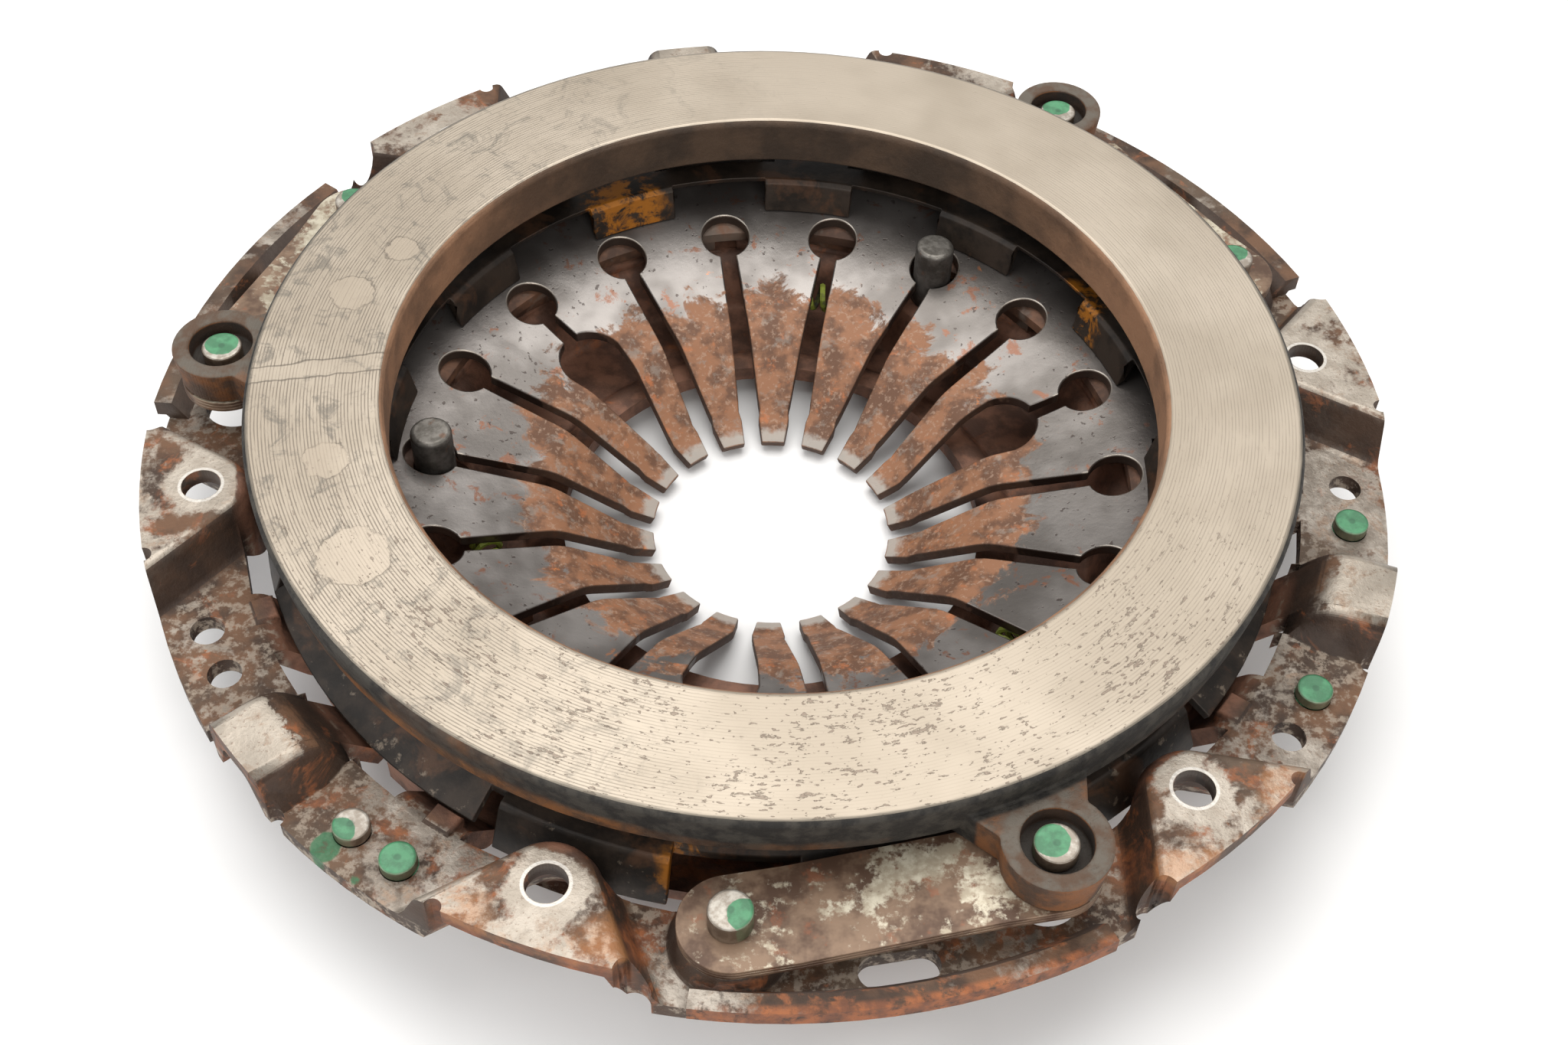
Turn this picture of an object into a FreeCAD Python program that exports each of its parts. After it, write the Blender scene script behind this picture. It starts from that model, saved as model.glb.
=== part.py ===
import FreeCAD, Part
import math
import os
import sys

import Sketcher

# A push-type clutch assembly with automatic wear adjustment, in its free state.
# Z is the clutch axis, with +Z towards the flywheel. The origin lies on the axis, in the plane of
# the six bolt pads that seat on the flywheel. The friction face of the pressure plate stands above it.

doc = FreeCAD.newDocument("Clutch")
sheet = doc.addObject("Spreadsheet::Sheet", "Sizes")

SIZES = [
    # The cover is pressed from one sheet.
    ("cover_sheet", 4.0),
    ("flange_radius", 139.0),
    ("flange_depth", 11.0),
    ("bolt_circle_radius", 126.04),
    ("bolt_hole_radius", 4.2),
    ("nose_radius", 9.2),
    ("pad_flare", 40.0),
    ("wall_lean", 20.9),
    ("pad_shoulder", 2.2),
    ("pad_fillet", 2.4),
    ("small_shoulder", 1.2),
    ("bend_radius", 2.0),
    ("bump_depth", 1.0),
    ("bump_half_width", 8.6),
    ("bump_shoulder", 3.2),
    ("bump_knee_radius", 125.4),
    ("bump_knee_bend", 9.0),
    ("bump_bite_angle", 5.0),
    ("bump_bite_radius", 2.0),
    ("fold_radius", 118.0),
    ("dish_wall_radius", 109.0),
    ("dish_wall_depth", 22.5),
    ("land_outer_radius", 97.0),
    ("land_inner_radius", 82.0),
    ("land_depth", 25.4),
    ("annulus_outer_radius", 76.0),
    ("annulus_inner_radius", 58.5),
    ("annulus_depth", 38.2),
    ("hub_outer_radius", 55.5),
    ("hub_inner_radius", 49.3),
    ("hub_depth", 33.9),
    ("window_half_angle", 11.0),
    ("window_outer_radius", 119.8),
    ("window_nose_gap", 1.5),
    ("small_window_start", 4.9),
    ("small_window_end", 11.0),
    ("small_window_inner", 112.7),
    ("balance_hole_radius", 3.6),
    ("balance_circle_radius", 130.5),
    ("balance_inner_angle", 10.7),
    ("balance_outer_angle", 16.1),
    ("notch_radius", 3.5),
    ("notch_angle", 8.9),
    ("relief_angle", 22.7),
    ("relief_radius", 1.8),
    ("emboss_angle", 16.4),
    ("emboss_inner_radius", 116.2),
    ("emboss_outer_radius", 120.2),
    ("emboss_half_width", 2.7),
    ("emboss_height", 0.9),
    ("channel_half_angle", 16.8),
    ("channel_floor_radius", 134.5),
    ("lip_inner_radius", 137.5),
    ("lip_outer_radius", 141.5),
    ("lip_depth", 5.9),
    ("oblong_circle_radius", 131.7),
    ("oblong_length", 16.0),
    ("oblong_width", 6.8),
    ("access_hole_radius", 7.0),
    ("sector_turn", -17.5),
    # Ramps under the adjuster ring.
    ("ramp_inner_radius", 84.5),
    ("ramp_outer_radius", 91.5),
    ("ramp_angle", 26.0),
    ("ramp_rise", 4.0),
    ("ramp_foot", 0.2),
    ("ramp_match", 0.97),
    ("ramp_gap", 0.2),
    # Pressure plate.
    ("plate_radius", 115.0),
    ("plate_bore_radius", 85.2),
    ("face_height", 15.6),
    ("plate_thickness", 12.0),
    ("plate_draft", 1.6),
    ("plate_chamfer", 1.0),
    ("lug_circle_radius", 124.8),
    ("lug_radius", 10.8),
    ("lug_height", 9.1),
    ("lug_draft", 5.0),
    ("lug_flare", 62.0),
    ("lug_turn", -63.17),
    ("counterbore_radius", 7.0),
    ("counterbore_depth", 4.5),
    ("cam_inner_radius", 98.0),
    ("cam_outer_radius", 103.0),
    ("cam_angle", 15.0),
    ("cam_turn", 14.67),
    ("cam_gap", 0.3),
    # Diaphragm spring.
    ("spring_radius", 104.5),
    ("spring_edge_depth", 9.0),
    ("spring_thickness", 2.7),
    ("cone_angle", 14.65),
    ("cone_inner_radius", 51.5),
    ("finger_angle", 36.8),
    ("finger_bend_radius", 33.5),
    ("tip_angle", 24.4),
    ("tip_radius", 28.0),
    ("finger_bend", 14.0),
    ("knuckle_bend", 7.0),
    ("keyhole_radius", 6.0),
    ("keyhole_circle_radius", 79.1),
    ("slot_half_width", 1.8),
    ("neck_radius", 35.6),
    ("neck_half_width", 2.65),
    ("shoulder_radius", 33.8),
    ("shoulder_half_width", 2.15),
    ("opening_radius", 8.3),
    ("opening_circle_radius", 58.0),
    ("opening_flank_radius", 50.0),
    ("opening_flank_half_width", 6.5),
    ("spring_turn", 21.18),
    # Sensor spring.
    ("sensor_thickness", 2.0),
    ("sensor_inner_radius", 88.6),
    ("sensor_inner_depth", 5.0),
    ("sensor_knee_radius", 106.0),
    ("sensor_knee_depth", 6.6),
    ("sensor_outer_radius", 115.2),
    ("sensor_outer_depth", 11.4),
    ("sensor_tab_radius", 85.8),
    ("sensor_tab_angle", 14.5),
    ("sensor_tab_gap", 0.27),
    ("sensor_window_inner", 96.0),
    ("sensor_window_outer", 105.3),
    ("sensor_window_angle", 18.5),
    ("sensor_lobe_angle", 18.6),
    ("sensor_lobe_depth", 17.6),
    ("sensor_boss_gap", 13.0),
    ("sensor_turn", 26.5),
    # Adjuster ring and its coil springs.
    ("adjuster_inner_radius", 83.2),
    ("adjuster_outer_radius", 92.0),
    ("bead_radius", 87.0),
    ("bead_half_width", 1.6),
    ("bead_gap", 0.15),
    ("arm_inner_radius", 64.5),
    ("arm_angle", 3.0),
    ("arm_top", 23.6),
    ("arm_bottom", 28.6),
    ("coil_circle_radius", 69.0),
    ("coil_depth", 25.3),
    ("coil_radius", 3.0),
    ("coil_wire_radius", 0.75),
    ("coil_pitch", 3.2),
    ("coil_start", 69.0),
    ("coil_end", 93.5),
    # Locating pegs, each on a boss of the cover's floor.
    ("peg_circle_radius", 78.2),
    ("peg_radius", 4.75),
    ("peg_top", 7.45),
    ("peg_chamfer", 0.8),
    ("peg_stem_radius", 2.4),
    ("peg_turn", 61.18),
    ("boss_radius", 8.0),
    # Straps between the cover and the lugs.
    ("leaf_thickness", 0.88),
    ("leaf_pitch", 0.9),
    ("strap_half_width", 10.2),
    ("strap_seat_depth", 6.1),
    ("strap_flat", 11.5),
    ("strap_rise", 3.5),
    ("strap_lug_gap", 0.05),
    ("strap_hole_radius", 3.1),
    ("strap_start_turn", -91.6),
    ("seat_top_radius", 10.0),
    # Rivets.
    ("rivet_stem_radius", 3.0),
    ("rivet_head_radius", 4.4),
    ("rivet_head_height", 5.1),
    ("rivet_foot_height", 2.2),
    ("balance_head_radius", 3.75),
    ("balance_head_height", 2.75),
    ("balance_foot_radius", 4.6),
    ("balance_stem_radius", 3.5),
]

for row, (alias, amount) in enumerate(SIZES, start=1):
    sheet.set(f"A{row}", alias)
    sheet.set(f"B{row}", str(amount))
    sheet.setAlias(f"B{row}", alias)
doc.recompute()


class Size:
    """A number kept together with the sheet expression that gives it."""

    def __init__(self, value, text=None):
        self.value = float(value)
        self.text = f"{float(value):.9g}" if text is None else text

    def __add__(self, other):
        other = as_size(other)
        return Size(self.value + other.value, f"({self.text} + {other.text})")

    def __radd__(self, other):
        return as_size(other) + self

    def __sub__(self, other):
        other = as_size(other)
        return Size(self.value - other.value, f"({self.text} - {other.text})")

    def __rsub__(self, other):
        return as_size(other) - self

    def __mul__(self, other):
        other = as_size(other)
        return Size(self.value * other.value, f"({self.text} * {other.text})")

    def __rmul__(self, other):
        return as_size(other) * self

    def __truediv__(self, other):
        other = as_size(other)
        return Size(self.value / other.value, f"({self.text} / {other.text})")

    def __neg__(self):
        return Size(-self.value, f"(0 - {self.text})")


def as_size(thing):
    return thing if isinstance(thing, Size) else Size(thing)


def size(alias):
    return Size(sheet.get(alias), f"Sizes.{alias}")


def sine(angle):
    angle = as_size(angle)
    return Size(math.sin(math.radians(angle.value)), f"sin({angle.text} * 1 deg)")


def cosine(angle):
    angle = as_size(angle)
    return Size(math.cos(math.radians(angle.value)), f"cos({angle.text} * 1 deg)")


def tangent(angle):
    angle = as_size(angle)
    return Size(math.tan(math.radians(angle.value)), f"tan({angle.text} * 1 deg)")


def root(number):
    return Size(math.sqrt(number.value), f"sqrt({number.text})")


def polar_point(radius, angle):
    return radius * cosine(angle), radius * sine(angle)


def origin_part(body, role):
    return [part for part in body.Origin.OriginFeatures if part.Role == role][0]


def new_body(name, turn=None):
    body = doc.addObject("PartDesign::Body", name)
    body.Label = name
    if turn is not None:
        turn_about_axis(body, turn)
    return body


def turn_about_axis(piece, turn):
    """Turns a piece about the clutch axis by an angle of the sheet."""
    turn = as_size(turn)
    axis = FreeCAD.Vector(0, 0, 1)
    piece.Placement = FreeCAD.Placement(FreeCAD.Vector(), FreeCAD.Rotation(axis, turn.value))
    piece.setExpression("Placement.Rotation.Angle", f"{turn.text} * 1 deg")


def new_sketch(body, name, role, level=None, turn=None):
    """A sketch on a plane of the body's origin, level mm along that plane's normal and turned
    about the clutch axis."""
    sketch = body.newObject("Sketcher::SketchObject", name)
    sketch.AttachmentSupport = [(origin_part(body, role), "")]
    sketch.MapMode = "FlatFace"
    height = FreeCAD.Vector(0, 0, 0 if level is None else level.value)
    axis = FreeCAD.Vector(0, 0, 1) if role == "XY_Plane" else FreeCAD.Vector(0, 1, 0)
    angle = 0 if turn is None else as_size(turn).value
    sketch.AttachmentOffset = FreeCAD.Placement(height, FreeCAD.Rotation(axis, angle))
    if level is not None:
        sketch.setExpression("AttachmentOffset.Base.z", level.text)
    return sketch


def bind_point(sketch, edge, end, point):
    """Holds one end of an edge at a point whose coordinates are sheet expressions."""
    for kind, axis, coordinate in (("DistanceX", -2, point[0]), ("DistanceY", -1, point[1])):
        coordinate = as_size(coordinate)
        if coordinate.text == "0":
            sketch.addConstraint(Sketcher.Constraint("PointOnObject", edge, end, axis))
            continue
        held = sketch.addConstraint(
            Sketcher.Constraint(kind, -1, 1, edge, end, coordinate.value)
        )
        sketch.setExpression(f"Constraints[{held}]", coordinate.text)


def with_quarters(points):
    """Gives each half circle of an outline a point at its middle."""
    result = []
    for index, point in enumerate(points):
        result.append(point)
        if len(point) == 2:
            continue
        after = points[(index + 1) % len(points)]
        x, y, bend = (as_size(part) for part in point)
        run, rise = (after[0] - x) / 2, (after[1] - y) / 2
        if abs(math.hypot(run.value, rise.value) - abs(bend.value)) < 1e-6:
            side = 1 if bend.value > 0 else -1
            result.append((x + run + rise * side, y + rise - run * side, bend))
    return result


def draw_outline(sketch, points):
    """Draws a closed outline. A point is (x, y), or (x, y, bend) where the edge that leaves it is
    an arc of radius bend, turning left if bend is positive and right if it is negative."""
    points = with_quarters(points)
    count = len(points)
    edges = []
    for index in range(count):
        start = points[index]
        stop = points[(index + 1) % count]
        a = FreeCAD.Vector(as_size(start[0]).value, as_size(start[1]).value, 0)
        b = FreeCAD.Vector(as_size(stop[0]).value, as_size(stop[1]).value, 0)
        if len(start) == 2:
            edges.append((sketch.addGeometry(Part.LineSegment(a, b)), 1, 2))
            continue
        bend = as_size(start[2]).value
        half = (b - a).Length / 2
        rise = math.sqrt(max(bend * bend - half * half, 0.0))
        across = FreeCAD.Vector(0, 0, 1).cross((b - a).normalize())
        centre = (a + b) / 2 + across * math.copysign(rise, bend)
        first, last = (a, b) if bend > 0 else (b, a)
        circle = Part.Circle(centre, FreeCAD.Vector(0, 0, 1), abs(bend))
        low = math.atan2(first.y - centre.y, first.x - centre.x)
        high = math.atan2(last.y - centre.y, last.x - centre.x)
        if high < low:
            high += 2 * math.pi
        edge = sketch.addGeometry(Part.ArcOfCircle(circle, low, high))
        ends = (1, 2) if bend > 0 else (2, 1)
        edges.append((edge, ends[0], ends[1]))
        held = sketch.addConstraint(Sketcher.Constraint("Radius", edge, abs(bend)))
        text = as_size(start[2]).text
        sketch.setExpression(f"Constraints[{held}]", text if bend > 0 else f"0 - {text}")
    for index in range(count):
        edge, first, last = edges[index]
        following = edges[(index + 1) % count]
        sketch.addConstraint(
            Sketcher.Constraint("Coincident", edge, last, following[0], following[1])
        )
        bind_point(sketch, edge, first, points[index])


def rounded(before, corner, after, radius):
    """The two ends of the arc that rounds a corner between two straight runs."""
    arms = []
    for end in (before, after):
        run, rise = end[0] - corner[0], end[1] - corner[1]
        length = root(run * run + rise * rise)
        arms.append((run / length, rise / length))
    (ax, ay), (bx, by) = arms
    spread = ax * bx + ay * by
    reach = radius * root((1 + spread) / (1 - spread))
    turns_left = ax.value * by.value - ay.value * bx.value < 0
    return [
        (corner[0] + ax * reach, corner[1] + ay * reach, radius if turns_left else -radius),
        (corner[0] + bx * reach, corner[1] + by * reach),
    ]


def rounded_line(points, bends):
    """An open run of straight pieces whose inner corners are rounded by the given radii."""
    result = [points[0]]
    for place, radius in enumerate(bends, start=1):
        result += rounded(points[place - 1], points[place], points[place + 1], radius)
    return result + [points[-1]]


def draw_circle(sketch, x, y, radius):
    x, y, radius = as_size(x), as_size(y), as_size(radius)
    circle = Part.Circle(FreeCAD.Vector(x.value, y.value, 0), FreeCAD.Vector(0, 0, 1), radius.value)
    edge = sketch.addGeometry(circle)
    bind_point(sketch, edge, 3, (x, y))
    held = sketch.addConstraint(Sketcher.Constraint("Radius", edge, radius.value))
    sketch.setExpression(f"Constraints[{held}]", radius.text)


def revolve(body, name, points, angle=None, turn=None):
    """Turns a section of radii and heights about the axis, all round or over an angle."""
    sketch = new_sketch(body, f"{name}_section", "XZ_Plane", turn=turn)
    draw_outline(sketch, points)
    feature = body.newObject("PartDesign::Revolution", name)
    feature.Profile = sketch
    feature.Refine = False
    feature.ReferenceAxis = (sketch, ["V_Axis"])
    if angle is not None:
        feature.Midplane = True
        feature.Angle = angle.value
        feature.setExpression("Angle", angle.text)
    return feature


def cut_ring(body, name, points, angle=None, turn=None):
    """Cuts a ring, or an arc of a ring, of the given section."""
    sketch = new_sketch(body, f"{name}_section", "XZ_Plane", turn=turn)
    draw_outline(sketch, points)
    feature = body.newObject("PartDesign::Groove", name)
    feature.Profile = sketch
    feature.Refine = False
    feature.ReferenceAxis = (sketch, ["V_Axis"])
    if angle is not None:
        feature.Midplane = True
        feature.Angle = angle.value
        feature.setExpression("Angle", angle.text)
    return feature


def loft(body, name, sections, cutting=False, turn=None, role="XY_Plane"):
    """A loft with straight sides through outlines, each given as (level, points)."""
    sketches = []
    for place, (level, points) in enumerate(sections):
        sketch = new_sketch(body, f"{name}_outline_{place}", role, level, turn)
        draw_outline(sketch, points)
        sketches.append(sketch)
    kind = "PartDesign::SubtractiveLoft" if cutting else "PartDesign::AdditiveLoft"
    feature = body.newObject(kind, name)
    feature.Profile = sketches[0]
    feature.Refine = False
    feature.Sections = sketches[1:]
    feature.Ruled = True
    return feature


def cut_through(body, name, outlines=(), circles=(), turn=None):
    """Cuts outlines and circles right through, parallel to the axis."""
    sketch = new_sketch(body, f"{name}_outline", "XY_Plane", turn=turn)
    for points in outlines:
        draw_outline(sketch, points)
    for x, y, radius in circles:
        draw_circle(sketch, x, y, radius)
    feature = body.newObject("PartDesign::Pocket", name)
    feature.Profile = sketch
    feature.Refine = False
    feature.SideType = "Symmetric"
    feature.Length = 200
    return feature


def around(body, name, features, count):
    """Repeats features at equal steps about the axis."""
    doc.recompute()
    pattern = body.newObject("PartDesign::PolarPattern", name)
    pattern.Originals = features
    pattern.Axis = (origin_part(body, "Z_Axis"), [""])
    pattern.Angle = 360
    pattern.Occurrences = count
    body.Tip = pattern
    return pattern


def box_points(low_x, high_x, low_y, high_y):
    return [(low_x, low_y), (high_x, low_y), (high_x, high_y), (low_x, high_y)]


def sector_points(inner, outer, start, end):
    """The outline of a ring's sector between two radii and two angles."""
    a, b = polar_point(outer, start), polar_point(outer, end)
    c, d = polar_point(inner, end), polar_point(inner, start)
    return [(a[0], a[1], outer), b, (c[0], c[1], -inner), d]


nothing = Size(0, "0")
cover_sheet = size("cover_sheet")
flange_radius = size("flange_radius")
flange_depth = size("flange_depth")
past_rim = flange_radius + 3
sheet_floor = flange_depth + cover_sheet


# Cover: the dished back and the flange are one revolved sheet. The six pads and three bumps are
# drawn up out of the flange, each as an outer loft with a smaller loft cut out from below.
def cover_section():
    wall = size("dish_wall_radius")
    wall_depth = size("dish_wall_depth")
    land = size("land_depth")
    floor = size("annulus_depth")
    hub = size("hub_depth")
    upper = [
        (flange_radius, -flange_depth),
        (size("fold_radius"), -flange_depth),
        (wall, -wall_depth),
        (size("land_outer_radius"), -land),
        (size("land_inner_radius"), -land),
        (size("annulus_outer_radius"), -floor),
        (size("annulus_inner_radius"), -floor),
        (size("hub_outer_radius"), -hub),
        (size("hub_inner_radius"), -hub),
    ]
    half = cover_sheet / 2
    lower = [
        (size("hub_inner_radius"), -(hub + cover_sheet)),
        (size("hub_outer_radius") - half, -(hub + cover_sheet)),
        (size("annulus_inner_radius") - half, -(floor + cover_sheet)),
        (size("annulus_outer_radius") + half, -(floor + cover_sheet)),
        (size("land_inner_radius") + cover_sheet * 0.8, -(land + cover_sheet)),
        (size("land_outer_radius") + half, -(land + cover_sheet)),
        (wall + cover_sheet, -(wall_depth + half)),
        (size("fold_radius") + half, -sheet_floor),
        (flange_radius, -sheet_floor),
    ]
    tight = size("bend_radius")
    wide = tight + cover_sheet
    return rounded_line(upper, [wide, tight, wide, wide, tight, tight, wide]) + rounded_line(
        lower, [tight, wide, wide, tight, tight, wide, tight]
    )


def pad_outline(grow):
    """A bolt pad seen along the axis: a round nose whose flanks flare towards the rim."""
    flare = size("pad_flare")
    radius = size("nose_radius") + grow
    near_x = size("bolt_circle_radius") - radius * sine(flare)
    near_y = radius * cosine(flare)
    far_y = near_y + (past_rim - near_x) * tangent(flare)
    return [
        (near_x, near_y, radius),
        (near_x, -near_y),
        (past_rim, -far_y),
        (past_rim, far_y),
    ]


def arc_steps(radius, full, steps):
    """Depth below the top and inset from the corner along a round shoulder."""
    reach = radius * tangent(full / 2)
    result = []
    for step in range(steps + 1):
        angle = full * (step / steps)
        result.append((radius * (1 - cosine(angle)), radius * sine(angle) - reach))
    return result


def drawn_up(body, name, outline, top_depth, shoulder, fillet, base_depth=None, turn=None):
    """A raised spot of the sheet: its outer form is added, then its hollow is cut from below. The
    outer form leaves the sheet in a hollow fillet and ends in a round shoulder."""
    lean = size("wall_lean")
    slope = tangent(lean)
    wall = cover_sheet * root(slope * slope + 1)
    base = flange_depth if base_depth is None else base_depth
    floor = base + cover_sheet
    cut_depth = floor + 1
    foot = slope * (base - top_depth)
    levels = [
        (-(base - down), outline(foot - inset))
        for down, inset in arc_steps(fillet, 90 - lean, 2)
    ]
    levels += [
        (-(top_depth + down), outline(inset))
        for down, inset in reversed(arc_steps(shoulder, 90 - lean, 3))
    ]
    levels.insert(0, (-floor, levels[0][1]))
    outer = loft(body, f"{name}_outer", levels, turn=turn)
    hollow_levels = [
        (-cut_depth, outline(slope * (cut_depth - cover_sheet - top_depth) - wall)),
        (-(top_depth + cover_sheet), outline(-wall)),
    ]
    hollow = loft(body, f"{name}_hollow", hollow_levels, cutting=True, turn=turn)
    return [outer, hollow]


cover_body = new_body("cover_pressing")
revolve(cover_body, "dish", cover_section())

bump_half = size("bump_half_width")
bump_cut = cut_through(
    cover_body,
    "bump_gap",
    [
        box_points(
            size("dish_wall_radius") + 1.5,
            size("bump_knee_radius") - 2,
            -(bump_half + 1.5),
            bump_half + 1.5,
        )
    ],
)
around(cover_body, "bump_gaps", [bump_cut], 3)

bump_depth = size("bump_depth")
knee_bend = size("bump_knee_bend")
wall_foot = (size("dish_wall_radius") + 0.6, -(size("dish_wall_depth") - 0.6))
bump_side = rounded_line(
    [
        (size("bump_knee_radius") + knee_bend, -bump_depth),
        (size("bump_knee_radius"), -bump_depth),
        wall_foot,
    ],
    [knee_bend],
)


def bump_section(top, base, grow):
    """A bump seen along its radius: a flat top with round shoulders on leaning walls."""
    lean = size("wall_lean")
    radius = size("bump_shoulder")
    half = bump_half + grow
    foot = half + tangent(lean) * (base - top)
    side = half - radius * tangent((90 - lean) / 2)
    shoulder_x = side + radius * cosine(lean)
    shoulder_z = -(top + radius * (1 - sine(lean)))
    return [
        (-foot, -base),
        (foot, -base),
        (shoulder_x, shoulder_z, radius),
        (side, -top),
        (-side, -top, radius),
        (-shoulder_x, shoulder_z),
    ]


def bump_levels(grow, drop, base):
    """Sections of a bump from beyond the rim to the bend where it falls into the dish."""
    flat_x = bump_side[1][0]
    bend_x = bump_side[2][0]
    sections = [(past_rim + drop / 4, bump_section(bump_depth + drop, base, grow))]
    for share in (0, 0.4, 0.75, 1):
        x = flat_x + (bend_x - flat_x) * share
        run = flat_x - x
        fall = knee_bend - root(knee_bend * knee_bend - run * run)
        sections.append((x, bump_section(bump_depth + fall + drop, base, grow)))
    slope = (bump_side[2][1] - wall_foot[1]) / (bend_x - wall_foot[0])
    last_x = bend_x - 3
    last_top = 3 * slope - bump_side[2][1] + drop
    sections.append((last_x, bump_section(last_top, base, grow)))
    return sections


slope = tangent(size("wall_lean"))
bump = [
    loft(
        cover_body,
        "bump_outer",
        bump_levels(nothing + 0, nothing + 0, sheet_floor),
        role="YZ_Plane",
    ),
    loft(
        cover_body,
        "bump_hollow",
        bump_levels(-cover_sheet * root(slope * slope + 1), cover_sheet, sheet_floor + 1),
        cutting=True,
        role="YZ_Plane",
    ),
]
around(cover_body, "bumps", bump, 3)


def bump_strap_points():
    """The sheet that joins a bump to the wall of the dish, seen from the side."""
    low_knee = (size("bump_knee_radius") + 1.9, -(bump_depth + cover_sheet))
    wall_back = (wall_foot[0] + 3.2, wall_foot[1] - 1.4)
    far = size("bump_knee_radius") + knee_bend
    below = rounded_line([wall_back, low_knee, (far, low_knee[1])], [knee_bend - cover_sheet])
    return bump_side + below


strap_sketch = new_sketch(cover_body, "bump_strap_side", "XZ_Plane")
draw_outline(strap_sketch, bump_strap_points())
bump_strap = cover_body.newObject("PartDesign::Pad", "bump_strap")
bump_strap.Profile = strap_sketch
bump_strap.SideType = "Symmetric"
bump_strap.Length = 2 * (bump_half.value - 2)
bump_strap.setExpression("Length", "2 * Sizes.bump_half_width - 4")
around(cover_body, "bump_straps", [bump_strap], 3)
doc.recompute()

pad_turn = 30
channel_turn = 60
pad = drawn_up(
    cover_body,
    "pad",
    pad_outline,
    nothing + 0,
    size("pad_shoulder"),
    size("pad_fillet"),
    turn=pad_turn,
)
around(cover_body, "pads", pad, 6)
emboss_levels = []
emboss_steps = [
    (sheet_floor + 2, 0.6),
    (flange_depth, 0.6),
    (flange_depth - size("emboss_height"), 0),
]
for depth, grow in emboss_steps:
    outline = box_points(
        size("emboss_inner_radius") - grow,
        size("emboss_outer_radius") + grow,
        -(size("emboss_half_width") + grow),
        size("emboss_half_width") + grow,
    )
    emboss_levels.append((-depth, outline))
for side, word in ((1, "left"), (-1, "right")):
    emboss = loft(cover_body, f"emboss_{word}", emboss_levels, turn=side * size("emboss_angle"))
    around(cover_body, f"embosses_{word}", [emboss], 3)


def window_outline():
    """The window round a pad's nose, from the dish wall to the flange."""
    half = size("window_half_angle")
    inner = size("dish_wall_radius")
    outer = size("window_outer_radius")
    reach = size("nose_radius") + size("window_nose_gap")
    corner = polar_point(outer, half)
    foot = polar_point(inner, half)
    nose_x = size("bolt_circle_radius") - reach * cosine(50)
    nose_y = reach * sine(50)
    return [
        (foot[0], -foot[1]),
        (corner[0], -corner[1]),
        (nose_x, -nose_y, -reach),
        (nose_x, nose_y),
        corner,
        (foot[0], foot[1], -inner),
    ]


cut_ring(
    cover_body,
    "rim_trim",
    box_points(flange_radius, flange_radius + 8, -(sheet_floor + 2), Size(3)),
)
doc.recompute()


# Each channel's outer edge turns up and then outwards as a lip.
def lip_section():
    floor = size("channel_floor_radius")
    inner = size("lip_inner_radius")
    outer = size("lip_outer_radius")
    lip = size("lip_depth")
    half = cover_sheet / 2
    return [
        (floor - 3, -flange_depth),
        (floor, -flange_depth),
        (inner, -lip),
        (outer, -lip),
        (outer, -(lip + cover_sheet)),
        (inner + half, -(lip + cover_sheet)),
        (floor + half, -sheet_floor),
        (floor - 3, -sheet_floor),
    ]


channel_angle = 2 * size("channel_half_angle")
channel_trim = cut_ring(
    cover_body,
    "channel_trim",
    box_points(
        size("channel_floor_radius") - 1,
        flange_radius + 5,
        -(sheet_floor + 2),
        -(size("lip_depth") - 3),
    ),
    angle=channel_angle,
    turn=channel_turn,
)
around(cover_body, "channel_trims", [channel_trim], 3)
lip = revolve(cover_body, "lip", lip_section(), angle=channel_angle, turn=channel_turn)
around(cover_body, "lips", [lip], 3)


# A raised seat carries the strap's rivet. An oblong slot and an access hole lie beside it.
def seat_outline(grow):
    radius = size("seat_top_radius") + grow
    x, y = size("lug_circle_radius"), Size(0, "0")
    return [(x, y - radius, radius), (x, y + radius, radius)]


seat_turn = size("strap_start_turn") - size("sector_turn")
seat = drawn_up(
    cover_body,
    "strap_seat",
    seat_outline,
    size("strap_seat_depth"),
    size("small_shoulder"),
    size("small_shoulder"),
    turn=seat_turn,
)
around(cover_body, "strap_seats", seat, 3)


def oblong_points():
    x = size("oblong_circle_radius")
    half = size("oblong_width") / 2
    reach = size("oblong_length") / 2 - half
    return [
        (x + half, -reach),
        (x + half, reach, half),
        (x - half, reach),
        (x - half, -reach, half),
    ]



access_turn = size("lug_turn") - size("sector_turn")


# Three bosses stand up from the floor of the dish and carry the locating pegs.
def boss_outline(grow):
    radius = size("boss_radius") + grow
    x = size("peg_circle_radius")
    far = size("land_inner_radius") + 2
    return [(far, radius), (x, radius, radius), (x, -radius), (far, -radius)]


boss_turn = size("peg_turn") - size("sector_turn")
boss = drawn_up(
    cover_body,
    "boss",
    boss_outline,
    size("land_depth"),
    size("small_shoulder"),
    size("small_shoulder"),
    base_depth=size("annulus_depth"),
    turn=boss_turn,
)
around(cover_body, "bosses", boss, 3)


# All openings of one sector are cut in one go, then repeated. Angles count from the bump's axis.
def turned(points, angle):
    """An outline turned about the clutch axis."""
    c, s = cosine(angle), sine(angle)
    result = []
    for point in points:
        x, y = as_size(point[0]), as_size(point[1])
        result.append((x * c - y * s, x * s + y * c) + tuple(point[2:]))
    return result


def hole_at(radius, angle, hole_radius):
    x, y = polar_point(radius, angle)
    return x, y, hole_radius


def sector_outlines():
    inner = size("small_window_inner")
    outer = size("window_outer_radius")
    start = size("small_window_start")
    end = size("small_window_end")
    return [
        turned(window_outline(), pad_turn),
        turned(window_outline(), -pad_turn),
        turned(oblong_points(), channel_turn),
        sector_points(inner, outer, start, end),
        sector_points(inner, outer, -end, -start),
    ]


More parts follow.
